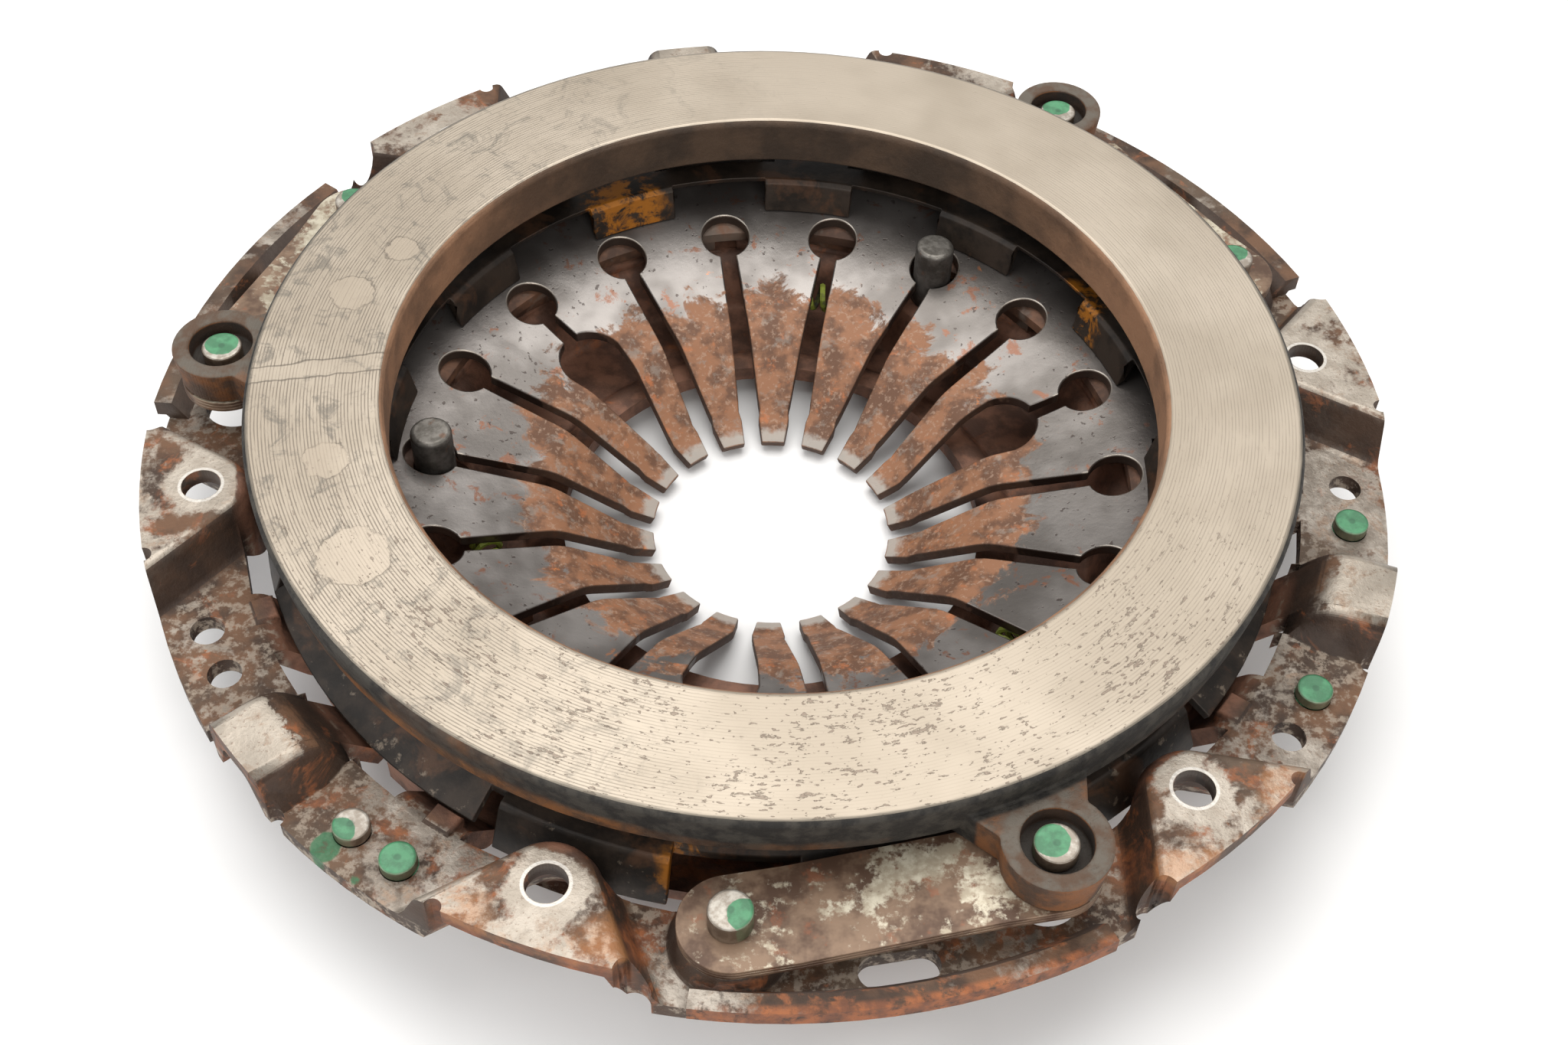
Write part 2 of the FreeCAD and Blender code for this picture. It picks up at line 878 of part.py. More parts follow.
def sector_holes():
    balance_radius = size("balance_circle_radius")
    notch = size("notch_angle")
    holes = [
        hole_at(size("lug_circle_radius"), seat_turn, size("strap_hole_radius")),
        hole_at(size("lug_circle_radius"), access_turn, size("access_hole_radius")),
        hole_at(size("peg_circle_radius"), boss_turn, size("peg_stem_radius") + 0.1),
    ]
    for side in (1, -1):
        holes += [
            hole_at(size("bolt_circle_radius"), Size(pad_turn * side), size("bolt_hole_radius")),
            hole_at(flange_radius, side * (notch + pad_turn), size("notch_radius")),
            hole_at(flange_radius, side * size("relief_angle"), size("relief_radius")),
            hole_at(flange_radius, side * size("bump_bite_angle"), size("bump_bite_radius")),
        ]
        for angle in (size("balance_inner_angle"), size("balance_outer_angle")):
            holes.append(hole_at(balance_radius, angle * side, size("balance_hole_radius")))
    return holes


openings = cut_through(cover_body, "openings", sector_outlines(), sector_holes())
around(cover_body, "openings_round", [openings], 3)
doc.recompute()


def number(alias):
    return float(sheet.get(alias))


def radial_section(angle, inner, outer, low, high):
    """A rectangle in the half plane at an angle about the axis."""
    c, s = math.cos(math.radians(angle)), math.sin(math.radians(angle))
    corners = [(inner, low), (outer, low), (outer, high), (inner, high), (inner, low)]
    return Part.makePolygon([FreeCAD.Vector(r * c, r * s, z) for r, z in corners])


def ramps(low_edge, high_edge, sections=5):
    """Twelve ramps in a ring. Each edge gives the height of a face at a share of the ramp."""
    inner = number("ramp_inner_radius")
    outer = number("ramp_outer_radius")
    angle = number("ramp_angle")
    pieces = []
    for copy in range(12):
        wires = []
        for step in range(sections):
            share = step / (sections - 1)
            turn = 30 * copy + angle * share
            wires.append(radial_section(turn, inner, outer, low_edge(share), high_edge(share)))
        pieces.append(Part.makeLoft(wires, True, True))
    return pieces


land_height = -number("land_depth")
ramp_rise = number("ramp_rise")
cover_ramps = doc.addObject("Part::Feature", "cover_ramps")
ramp_foot = number("ramp_foot")
cover_ramps.Shape = Part.makeCompound(
    ramps(
        lambda share: land_height - 1,
        lambda share: land_height + ramp_foot + ramp_rise * share,
    )
)
cover = doc.addObject("Part::MultiFuse", "cover")
cover.Label = "cover"
cover.Shapes = [cover_body, cover_ramps]
cover.Refine = True
turn_about_axis(cover, size("sector_turn"))


# Pressure plate: a cast ring with three lugs at its rim and twelve cams at its back.
plate = new_body("pressure_plate", size("lug_turn"))
face = size("face_height")
plate_floor = face - size("plate_thickness")
chamfer = size("plate_chamfer")
revolve(
    plate,
    "plate_ring",
    [
        (size("plate_bore_radius"), plate_floor),
        (size("plate_radius") - size("plate_draft"), plate_floor),
        (size("plate_radius"), face - chamfer),
        (size("plate_radius") - chamfer, face),
        (size("plate_bore_radius") + chamfer, face),
        (size("plate_bore_radius"), face - chamfer),
    ],
)


def lug_points(grow):
    """A lug seen along the axis: a round end whose flanks flare into the ring."""
    radius = size("lug_radius") + grow
    flare = size("lug_flare")
    x = size("lug_circle_radius")
    near_x = x - radius * cosine(flare)
    near_y = radius * sine(flare)
    far_x = size("plate_radius") - 8
    far_y = near_y + (near_x - far_x) * cosine(flare) / sine(flare)
    return [
        (near_x, -near_y, radius),
        (x + radius, nothing, radius),
        (near_x, near_y),
        (far_x, far_y),
        (far_x, -far_y),
    ]


lug_floor = -size("strap_seat_depth") + 3 * size("leaf_pitch") + size("strap_rise")
lug_height = size("lug_height")
lug = loft(
    plate,
    "lug",
    [
        (lug_floor, lug_points(-((lug_height - lug_floor) * tangent(size("lug_draft"))))),
        (lug_height, lug_points(nothing + 0)),
    ],
)
around(plate, "lugs", [lug], 3)
counterbore_sketch = new_sketch(
    plate, "counterbore_outline", "XY_Plane", lug_height - size("counterbore_depth")
)
draw_circle(counterbore_sketch, size("lug_circle_radius"), nothing, size("counterbore_radius"))
counterbore = plate.newObject("PartDesign::Pocket", "counterbore")
counterbore.Profile = counterbore_sketch
counterbore.Reversed = True
counterbore.Length = 20
around(plate, "counterbores", [counterbore], 3)
lug_hole = cut_through(
    plate,
    "lug_hole",
    circles=[(size("lug_circle_radius"), nothing, size("strap_hole_radius"))],
)
around(plate, "lug_holes", [lug_hole], 3)
cone_slope = tangent(size("cone_angle"))


def spring_top(radius):
    """Height of the diaphragm's upper face on its outer cone."""
    return -(size("spring_edge_depth") + (size("spring_radius") - radius) * cone_slope)


cam_inner = size("cam_inner_radius")
cam_outer = size("cam_outer_radius")
cam = revolve(
    plate,
    "cam",
    [
        (cam_inner - 1, plate_floor + 1),
        (cam_inner, spring_top(cam_inner) + size("cam_gap")),
        (cam_outer, spring_top(cam_outer) + size("cam_gap")),
        (cam_outer + 1, plate_floor + 1),
    ],
    angle=size("cam_angle"),
    turn=size("cam_turn"),
)
around(plate, "cams", [cam], 12)
doc.recompute()


# Diaphragm spring: a coned ring that runs on as eighteen bent fingers.
diaphragm = new_body("diaphragm_spring", size("spring_turn"))


def spring_section():
    cone = size("cone_angle")
    finger = size("finger_angle")
    tip = size("tip_angle")
    thick = size("spring_thickness")
    edge = (size("spring_radius"), -size("spring_edge_depth"))
    bend_x = size("cone_inner_radius")
    bend = (bend_x, edge[1] - (edge[0] - bend_x) * tangent(cone))
    knuckle_x = size("finger_bend_radius")
    knuckle = (knuckle_x, bend[1] - (bend_x - knuckle_x) * tangent(finger))
    tip_x = size("tip_radius")
    end = (tip_x, knuckle[1] - (knuckle_x - tip_x) * tangent(tip))

    def below(point, before, after):
        middle = (before + after) / 2
        reach = thick / cosine((after - before) / 2)
        return point[0] + reach * sine(middle), point[1] - reach * cosine(middle)

    def arc_ends(point, before, after, radius):
        """Outer and inner end of the arc between two slopes."""
        reach = radius * tangent((after - before) / 2)
        outer = (point[0] + reach * cosine(before), point[1] + reach * sine(before))
        return outer, (point[0] - reach * cosine(after), point[1] - reach * sine(after))

    bend_radius = size("finger_bend")
    knuckle_radius = size("knuckle_bend")
    bend_out, bend_in = arc_ends(bend, cone, finger, bend_radius)
    low_bend = below(bend, cone, finger)
    low_bend_out, low_bend_in = arc_ends(low_bend, cone, finger, bend_radius - thick)
    knuckle_out, knuckle_in = arc_ends(knuckle, finger, tip, -knuckle_radius)
    low_knuckle = below(knuckle, finger, tip)
    low_knuckle_out, low_knuckle_in = arc_ends(low_knuckle, finger, tip, -knuckle_radius - thick)
    return [
        edge,
        bend_out + (bend_radius,),
        bend_in,
        knuckle_out + (-knuckle_radius,),
        knuckle_in,
        end,
        below(end, tip, tip),
        low_knuckle_in + (knuckle_radius + thick,),
        low_knuckle_out,
        low_bend_in + (thick - bend_radius,),
        low_bend_out,
        (edge[0], edge[1] - thick / cosine(cone)),
    ]


def slot_outline():
    """A slot from its keyhole to the centre, widest at the neck of the fingers."""
    neck = size("neck_radius")
    shoulder = size("shoulder_radius")
    width = size("slot_half_width")
    wide = size("neck_half_width")
    narrow = size("shoulder_half_width")
    start = size("keyhole_circle_radius")
    end = size("tip_radius") - 3
    return [
        (start, -width),
        (start, width),
        (neck + 2, wide - 0.15),
        (neck, wide),
        (shoulder, narrow),
        (end, narrow),
        (end, -narrow),
        (shoulder, -narrow),
        (neck, -wide),
        (neck + 2, 0.15 - wide),
    ]


def opening_outline():
    """A wide opening between two narrowed fingers, round at its outer end."""
    circle_x = size("opening_circle_radius")
    radius = size("opening_radius")
    flank_x = size("opening_flank_radius")
    flank = size("opening_flank_half_width")
    neck = size("neck_radius")
    wide = size("neck_half_width")
    return [
        (circle_x, -radius, radius),
        (circle_x, radius),
        (flank_x, flank),
        (neck, wide - 0.1),
        (neck, 0.1 - wide),
        (flank_x, -flank),
    ]


revolve(diaphragm, "spring_cone", spring_section())
slot = cut_through(diaphragm, "slot", [slot_outline()])
keyhole = cut_through(
    diaphragm,
    "keyhole",
    circles=[(size("keyhole_circle_radius"), nothing, size("keyhole_radius"))],
)
around(diaphragm, "slots", [slot, keyhole], 18)
opening = cut_through(diaphragm, "opening", [opening_outline()])
around(diaphragm, "openings", [opening], 3)
doc.recompute()


# Sensor spring: a bent disc that presses the diaphragm down with twelve tabs and holds on to the
# cover by lobes that reach into the windows.
sensor = new_body("sensor_spring", size("sensor_turn"))
sensor_thick = size("sensor_thickness")
sensor_in = size("sensor_inner_radius")
sensor_knee = size("sensor_knee_radius")
sensor_out = size("sensor_outer_radius")
revolve(
    sensor,
    "sensor_disc",
    [
        (sensor_in, -size("sensor_inner_depth")),
        (sensor_knee, -size("sensor_knee_depth")),
        (sensor_out, -size("sensor_outer_depth")),
        (sensor_out - 1, -(size("sensor_outer_depth") + sensor_thick * 0.9)),
        (sensor_knee - 0.5, -(size("sensor_knee_depth") + sensor_thick)),
        (sensor_in + 1, -(size("sensor_inner_depth") + sensor_thick)),
    ],
)
sensor_cut_low = -(size("sensor_outer_depth") + 5)
sensor_cut_high = -(size("sensor_inner_depth") - 2)
sensor_window = cut_ring(
    sensor,
    "sensor_window",
    box_points(
        size("sensor_window_inner"),
        size("sensor_window_outer"),
        sensor_cut_low,
        sensor_cut_high,
    ),
    angle=size("sensor_window_angle"),
    turn=15,
)
around(sensor, "sensor_windows", [sensor_window], 12)
lobe_turn = size("sector_turn") + pad_turn - size("sensor_turn")
rim_cut = cut_ring(
    sensor,
    "sensor_rim_cut",
    box_points(sensor_knee + 2, sensor_out + 2, sensor_cut_low, sensor_cut_high),
    angle=size("sensor_lobe_angle") + 4,
    turn=lobe_turn,
)
around(sensor, "sensor_rim_cuts", [rim_cut], 6)
boss_gap = cut_ring(
    sensor,
    "sensor_boss_gap",
    box_points(sensor_knee + 2, sensor_out + 2, sensor_cut_low, sensor_cut_high),
    angle=size("sensor_boss_gap"),
    turn=size("strap_start_turn") - size("sensor_turn"),
)
around(sensor, "sensor_boss_gaps", [boss_gap], 3)
lobe_depth = size("sensor_lobe_depth")
lobe = revolve(
    sensor,
    "sensor_lobe",
    [
        (sensor_knee + 1, -(size("sensor_knee_depth") + 0.3)),
        (sensor_knee + 4.5, -(size("sensor_knee_depth") + 0.6)),
        (sensor_knee + 5.5, -(size("sensor_knee_depth") + 1.6)),
        (sensor_out, -lobe_depth),
        (sensor_out - 2, -(lobe_depth + 0.6)),
        (sensor_knee + 3, -(size("sensor_knee_depth") + 2.6)),
        (sensor_knee + 1, -(size("sensor_knee_depth") + 2.4)),
    ],
    angle=size("sensor_lobe_angle"),
    turn=lobe_turn,
)
around(sensor, "sensor_lobes", [lobe], 6)
tab_in = size("sensor_tab_radius")
tab_gap = size("sensor_tab_gap")
tab = revolve(
    sensor,
    "sensor_tab",
    [
        (sensor_in + 2.5, -(size("sensor_inner_depth") + 0.3)),
        (sensor_in, -size("sensor_inner_depth")),
        (sensor_in - 1.2, -(size("sensor_inner_depth") + 1)),
        (tab_in, spring_top(tab_in) + tab_gap),
        (tab_in + 2, spring_top(tab_in + 2) + tab_gap + 0.9),
        (sensor_in + 1, -(size("sensor_inner_depth") + sensor_thick + 0.1)),
        (sensor_in + 2.5, -(size("sensor_inner_depth") + sensor_thick)),
    ],
    angle=size("sensor_tab_angle"),
)
around(sensor, "sensor_tabs", [tab], 12)
doc.recompute()


# Adjuster ring: a bead under the diaphragm, ramps below it and three arms for the coil springs.
adjuster_body = new_body("adjuster_ring_body")
bead = size("bead_radius")
bead_half = size("bead_half_width")
adjuster_base = size("land_depth") - size("ramp_rise") - 0.3


def spring_under(radius):
    return spring_top(radius) - size("spring_thickness") / cosine(size("cone_angle"))


bead_top = spring_under(bead) - size("bead_gap")
revolve(
    adjuster_body,
    "adjuster_ring_form",
    [
        (size("adjuster_inner_radius"), -adjuster_base),
        (size("adjuster_outer_radius"), -adjuster_base),
        (size("adjuster_outer_radius"), -(adjuster_base - 2.5)),
        (bead + bead_half + 1, -(adjuster_base - 2.8)),
        (bead + bead_half, bead_top - 0.4),
        (bead, bead_top),
        (bead - bead_half, bead_top - 0.9),
        (size("adjuster_inner_radius"), -(adjuster_base - 2.5)),
    ],
)
arm_turn = size("coil_end") + size("arm_angle") / 2 - size("sector_turn")
arm = revolve(
    adjuster_body,
    "adjuster_arm",
    box_points(
        size("arm_inner_radius"),
        size("land_inner_radius") - 2.5,
        -size("arm_bottom"),
        -size("arm_top"),
    ),
    angle=size("arm_angle"),
    turn=arm_turn,
)
arm_root = revolve(
    adjuster_body,
    "adjuster_arm_root",
    box_points(
        size("land_inner_radius") - 3.5,
        size("ramp_inner_radius") - 0.3,
        -size("arm_top"),
        -(adjuster_base - 1.9),
    ),
    angle=size("arm_angle"),
    turn=arm_turn,
)
around(adjuster_body, "adjuster_arms", [arm, arm_root], 3)
adjuster_ramps = doc.addObject("Part::Feature", "adjuster_ramps")
base_height = -adjuster_base.value
ramp_gap = number("ramp_gap")
ramp_match = number("ramp_match")
adjuster_ramps.Shape = Part.makeCompound(
    ramps(
        lambda share: land_height + ramp_gap + ramp_foot + ramp_rise * share * ramp_match,
        lambda share: base_height + 0.5,
    )
)
adjuster = doc.addObject("Part::MultiFuse", "adjuster_ring")
adjuster.Label = "adjuster_ring"
adjuster.Shapes = [adjuster_body, adjuster_ramps]
adjuster.Refine = True
turn_about_axis(adjuster, size("sector_turn"))


# Coil springs between the bosses of the cover and the arms of the adjuster ring.
def coil_shape(steps=12, sides=6):
    """A wire wound along the chord between the spring's two end angles, in short straight runs."""
    circle = number("coil_circle_radius")
    start, end = math.radians(number("coil_start")), math.radians(number("coil_end"))
    a = FreeCAD.Vector(circle * math.cos(start), circle * math.sin(start), 0)
    b = FreeCAD.Vector(circle * math.cos(end), circle * math.sin(end), 0)
    wire = number("coil_wire_radius")
    radius = number("coil_radius")
    pitch = number("coil_pitch")
    gap = wire + 0.35
    along = (b - a).normalize()
    level = FreeCAD.Vector(0, 0, -number("coil_depth"))
    across = FreeCAD.Vector(0, 0, 1).cross(along)
    count = int(((b - a).Length - 2 * gap) / pitch * steps)
    wires = []
    for step in range(count + 1):
        turn = 2 * math.pi * step / steps
        outward = across * math.cos(turn) + FreeCAD.Vector(0, 0, 1) * math.sin(turn)
        centre = a + level + along * (gap + pitch * step / steps) + outward * radius
        corners = []
        for side in range(sides + 1):
            lean = 2 * math.pi * side / sides
            corners.append(centre + (outward * math.cos(lean) + along * math.sin(lean)) * wire)
        wires.append(Part.makePolygon(corners))
    return Part.makeLoft(wires, True, True)


coil = coil_shape()
for index, letter in enumerate("abc"):
    spring = doc.addObject("Part::Feature", f"adjuster_spring_{letter}")
    spring.Label = f"adjuster_spring_{letter}"
    spring.Shape = coil.copy()
    spring.Placement = FreeCAD.Placement(
        FreeCAD.Vector(), FreeCAD.Rotation(FreeCAD.Vector(0, 0, 1), 120 * index)
    )


# Locating pegs, riveted to the bosses and standing up through keyholes of the diaphragm.
def turned_piece(name, points, x, turns):
    """Identical turned pieces standing at a radius of the clutch, at the given turns."""
    copies = []
    for index, turn in enumerate(turns):
        body = new_body(name if len(turns) == 1 else f"{name}_{index}")
        sketch = new_sketch(body, f"{body.Name}_section", "XZ_Plane")
        draw_outline(sketch, points)
        feature = body.newObject("PartDesign::Revolution", f"{body.Name}_form")
        feature.Profile = sketch
        feature.Refine = False
        feature.ReferenceAxis = (sketch, ["V_Axis"])
        at = polar_point(x, turn)
        body.Placement.Base = FreeCAD.Vector(at[0].value, at[1].value, 0)
        body.setExpression("Placement.Base.x", at[0].text)
        body.setExpression("Placement.Base.y", at[1].text)
        copies.append(body)
    return copies


def gathered(name, copies):
    """Identical fasteners as one node."""
    group = doc.addObject("Part::Compound", name)
    group.Label = name
    group.Links = copies
    return group


def peg_points():
    radius = size("peg_radius")
    bevel = size("peg_chamfer")
    top = -size("peg_top")
    seat_z = -size("land_depth")
    stem = size("peg_stem_radius")
    foot_z = seat_z - cover_sheet
    foot = size("rivet_foot_height")
    return [
        (nothing, top),
        (nothing, foot_z - foot),
        (stem + 0.8, foot_z - foot),
        (stem + 1.2, foot_z),
        (stem, foot_z),
        (stem, seat_z),
        (radius, seat_z),
        (radius, top - bevel),
        (radius - bevel, top),
    ]


peg_turns = [size("peg_turn") + 120 * index for index in range(3)]
for peg, letter in zip(
    turned_piece("peg", peg_points(), size("peg_circle_radius"), peg_turns), "abc"
):
    peg.Label = f"locating_peg_{letter}"


def rivet_points(head_z, under_head, head, stem, foot_z, foot_radius):
    """A rivet's half section: a round head, its stem and the foot closed on the far side."""
    foot = size("rivet_foot_height")
    return [
        (nothing, head_z),
        (nothing, foot_z - foot),
        (foot_radius - 0.8, foot_z - foot),
        (foot_radius, foot_z),
        (stem, foot_z),
        (stem, under_head),
        (head, under_head),
        (head, head_z - 0.3),
        (head - 0.3, head_z),
    ]


pack = 2 * size("leaf_pitch") + size("leaf_thickness")
seat_z = -size("strap_seat_depth")
strap_top = seat_z + pack
start_turns = [size("strap_start_turn") + 120 * index for index in range(3)]
lug_turns = [size("lug_turn") + 120 * index for index in range(3)]
head_radius = size("rivet_head_radius")
stem_radius = size("rivet_stem_radius")
cover_rivet = rivet_points(
    strap_top + size("rivet_head_height"),
    strap_top,
    head_radius,
    stem_radius,
    seat_z - cover_sheet,
    head_radius,
)
gathered(
    "strap_cover_rivets",
    turned_piece("cover_rivet", cover_rivet, size("lug_circle_radius"), start_turns),
)
strap_under = lug_floor - size("strap_lug_gap") - pack
lug_rivet = rivet_points(
    lug_height - 1,
    lug_height - size("counterbore_depth"),
    head_radius,
    stem_radius,
    strap_under,
    head_radius,
)
gathered(
    "strap_lug_rivets",
    turned_piece("lug_rivet", lug_rivet, size("lug_circle_radius"), lug_turns),
)
balance_rivet = rivet_points(
    size("balance_head_height") - flange_depth,
    -flange_depth,
    size("balance_head_radius"),
    size("balance_stem_radius"),
    -sheet_floor,
    size("balance_foot_radius"),
)
sector = size("sector_turn")
balance_turns = [
    sector + size("balance_inner_angle"),
    sector - size("balance_inner_angle"),
    sector - 120 + size("balance_inner_angle"),
    sector - 120 + size("balance_outer_angle"),
]
gathered(
    "balance_rivets",
    turned_piece("balance_rivet", balance_rivet, size("balance_circle_radius"), balance_turns),
)


# Straps: three packs of three leaves. Each leaf is a bent strip with round ends.
def strap_frame():
    """Where a strap starts, which way it runs and how long it is between its rivets."""
    circle = number("lug_circle_radius")
    start = math.radians(number("strap_start_turn"))
    end = math.radians(number("lug_turn"))
    a = FreeCAD.Vector(circle * math.cos(start), circle * math.sin(start), 0)
    b = FreeCAD.Vector(circle * math.cos(end), circle * math.sin(end), 0)
    return a, math.degrees(math.atan2(b.y - a.y, b.x - a.x)), (b - a).Length


strap_origin, strap_heading, strap_length = strap_frame()


def leaf_side(level):
    """The side view of one leaf, flat at both ends and bent twice between them."""
    thick = size("leaf_thickness")
    low = seat_z + level * size("leaf_pitch")
    high = strap_under + level * size("leaf_pitch")
    flat = size("strap_flat")
    reach = size("strap_half_width")
    far = Size(strap_length)
    return [
        (-reach, low),
        (flat, low),
        (far - flat, high),
        (far + reach, high),
        (far + reach, high + thick),
        (far - flat, high + thick),
        (flat, low + thick),
        (-reach, low + thick),
    ]


def leaf_ends():
    """The waste outside a leaf's rounded ends, as outlines to be cut."""
    half = size("strap_half_width")
    far = Size(strap_length)
    return [
        [(nothing, -half), (-(half + 2), -half), (-(half + 2), half), (nothing, half, half)],
        [(far, half), (far + half + 2, half), (far + half + 2, -half), (far, -half, half)],
    ]


for index, letter in enumerate("abc"):
    turn = 120 * index
    for level in range(3):
        leaf = new_body(f"strap_leaf_{letter}{level + 1}")
        side = new_sketch(leaf, f"{leaf.Name}_side", "XZ_Plane")
        draw_outline(side, leaf_side(level))
        strip = leaf.newObject("PartDesign::Pad", f"{leaf.Name}_strip")
        strip.Profile = side
        strip.SideType = "Symmetric"
        strip.setExpression("Length", "2 * Sizes.strap_half_width")
        doc.recompute()
        holes = [
            (nothing, nothing, size("strap_hole_radius")),
            (Size(strap_length), nothing, size("strap_hole_radius")),
        ]
        cut_through(leaf, f"{leaf.Name}_ends", leaf_ends())
        doc.recompute()
        cut_through(leaf, f"{leaf.Name}_holes", circles=holes)
        place = FreeCAD.Placement(
            FreeCAD.Vector(), FreeCAD.Rotation(FreeCAD.Vector(0, 0, 1), turn)
        ).multiply(
            FreeCAD.Placement(
                strap_origin, FreeCAD.Rotation(FreeCAD.Vector(0, 0, 1), strap_heading)
            )
        )
        leaf.Placement = place

doc.recompute()

NODES = {
    "cover": cover,
    "pressure_plate": plate,
    "diaphragm_spring": diaphragm,
    "sensor_spring": sensor,
    "adjuster_ring": adjuster,
}
for item in doc.Objects:
    if item.Label.startswith(("locating_peg_", "strap_leaf_", "adjuster_spring_")):
        if item.TypeId in ("PartDesign::Body", "Part::Feature"):
            NODES[item.Label] = item
    if item.TypeId == "Part::Compound":
        NODES[item.Label] = item

faults = [
    f"{item.Label}: {', '.join(item.State)}"
    for item in doc.Objects
    if "Invalid" in item.State or "Error" in item.State
]
for label, item in NODES.items():
    if item.Shape.isNull() or not item.Shape.isValid() or item.Shape.Volume <= 0:
        faults.append(f"{label}: the shape is empty or not valid")
if faults:
    print("\n".join(faults))
    sys.exit(1)

os.makedirs("parts", exist_ok=True)
for label, item in NODES.items():
    item.Shape.exportStep(f"parts/{label}.step")
    print(f"{label}: {len(item.Shape.Solids)} solids, {item.Shape.Volume:.0f} mm3")
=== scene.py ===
import bmesh
import bpy
import numpy as np
from mathutils import Matrix, Vector


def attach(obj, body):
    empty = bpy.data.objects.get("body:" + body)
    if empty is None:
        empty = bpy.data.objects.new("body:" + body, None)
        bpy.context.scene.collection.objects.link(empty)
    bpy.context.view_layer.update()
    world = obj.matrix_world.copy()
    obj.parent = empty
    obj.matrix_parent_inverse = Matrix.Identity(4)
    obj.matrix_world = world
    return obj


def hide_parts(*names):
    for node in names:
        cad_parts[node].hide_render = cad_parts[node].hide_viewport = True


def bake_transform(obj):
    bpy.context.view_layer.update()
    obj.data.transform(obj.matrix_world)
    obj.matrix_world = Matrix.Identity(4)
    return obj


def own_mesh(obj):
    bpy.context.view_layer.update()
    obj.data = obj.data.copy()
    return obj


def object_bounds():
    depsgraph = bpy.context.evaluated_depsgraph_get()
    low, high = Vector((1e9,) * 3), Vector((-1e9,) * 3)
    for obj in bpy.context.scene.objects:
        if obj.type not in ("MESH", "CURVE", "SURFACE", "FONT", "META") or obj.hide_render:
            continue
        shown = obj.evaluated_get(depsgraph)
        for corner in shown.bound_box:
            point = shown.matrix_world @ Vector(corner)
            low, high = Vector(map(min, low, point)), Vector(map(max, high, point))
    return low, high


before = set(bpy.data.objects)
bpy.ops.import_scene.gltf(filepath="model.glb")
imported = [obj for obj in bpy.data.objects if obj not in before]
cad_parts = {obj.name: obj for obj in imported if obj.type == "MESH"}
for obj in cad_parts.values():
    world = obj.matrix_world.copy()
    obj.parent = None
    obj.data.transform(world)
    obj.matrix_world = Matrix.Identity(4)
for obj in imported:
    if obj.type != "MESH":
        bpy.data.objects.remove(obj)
cad_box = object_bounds()

# The studio. The clutch lies on a pale sheet of board under three soft lamps. The camera has a
# 45 mm lens and looks down by 50 degrees, rolled a little, as for the photograph.
camera_elevation = np.radians(50.029)
camera_roll = np.radians(2.631)
camera_distance = 0.400711
camera_target = np.array([0.003051, -0.043431, 0.0156])
lens_mm = 45.0
sensor_mm = 36.0
board_gap = 0.0002
board_reach = 3.0


def lamp(name, place, target, size, power, colour):
    """A square area lamp at a place, turned to a target."""
    light = bpy.data.lights.new(name, "AREA")
    light.shape = "SQUARE"
    light.size = size
    light.energy = power
    light.color = colour
    obj = bpy.data.objects.new(name, light)
    bpy.context.collection.objects.link(obj)
    obj.location = place
    obj.rotation_euler = (Vector(target) - Vector(place)).to_track_quat("-Z", "Y").to_euler()


def aimed_camera():
    """A camera whose back axis is towards the viewer. Its right and up axes are turned by the roll."""
    back = np.array([0.0, -np.cos(camera_elevation), np.sin(camera_elevation)])
    right = np.array([1.0, 0.0, 0.0])
    up = np.cross(back, right)
    side = right * np.cos(camera_roll) + up * np.sin(camera_roll)
    top = -right * np.sin(camera_roll) + up * np.cos(camera_roll)
    matrix = np.eye(4)
    matrix[:3, 0], matrix[:3, 1], matrix[:3, 2] = side, top, back
    matrix[:3, 3] = camera_target + back * camera_distance
    data = bpy.data.cameras.new("camera")
    data.lens = lens_mm
    data.sensor_width = sensor_mm
    data.clip_start = 0.01
    obj = bpy.data.objects.new("camera", data)
    bpy.context.collection.objects.link(obj)
    obj.matrix_world = Matrix(matrix.tolist())
    bpy.context.scene.camera = obj


def board():
    """A flat square just under the object, wider than the camera sees."""
    low = cad_box[0][2] - board_gap
    mesh = bpy.data.meshes.new("board")
    turns = [(-1, -1), (1, -1), (1, 1), (-1, 1)]
    corners = [(board_reach * x, board_reach * y, low) for x, y in turns]
    mesh.from_pydata(corners, [], [(0, 1, 2, 3)])
    obj = bpy.data.objects.new("board", mesh)
    bpy.context.collection.objects.link(obj)
    material = bpy.data.materials.new("pale_board")
    material.use_nodes = True
    shader = material.node_tree.nodes["Principled BSDF"]
    shader.inputs["Base Color"].default_value = (0.86, 0.86, 0.86, 1)
    shader.inputs["Roughness"].default_value = 0.9
    mesh.materials.append(material)


aimed_camera()
board()
lamp("lamp_overhead", (-0.05, 0.28, 1.15), (0, 0, 0), 1.1, 14.0, (1.0, 0.985, 0.96))
lamp("lamp_left", (-1.1, -0.3, 0.75), (0, 0, 0), 0.8, 5.0, (0.97, 0.985, 1.0))
lamp("lamp_front", (0.35, -1.1, 0.8), (0, -0.05, 0), 0.8, 8.0, (1.0, 0.98, 0.95))
world = bpy.data.worlds.new("studio_air")
bpy.context.scene.world = world
world.use_nodes = True
world.node_tree.nodes["Background"].inputs["Color"].default_value = (1.0, 1.0, 1.0, 1)
world.node_tree.nodes["Background"].inputs["Strength"].default_value = 0.55
bpy.context.scene.view_settings.view_transform = "Standard"


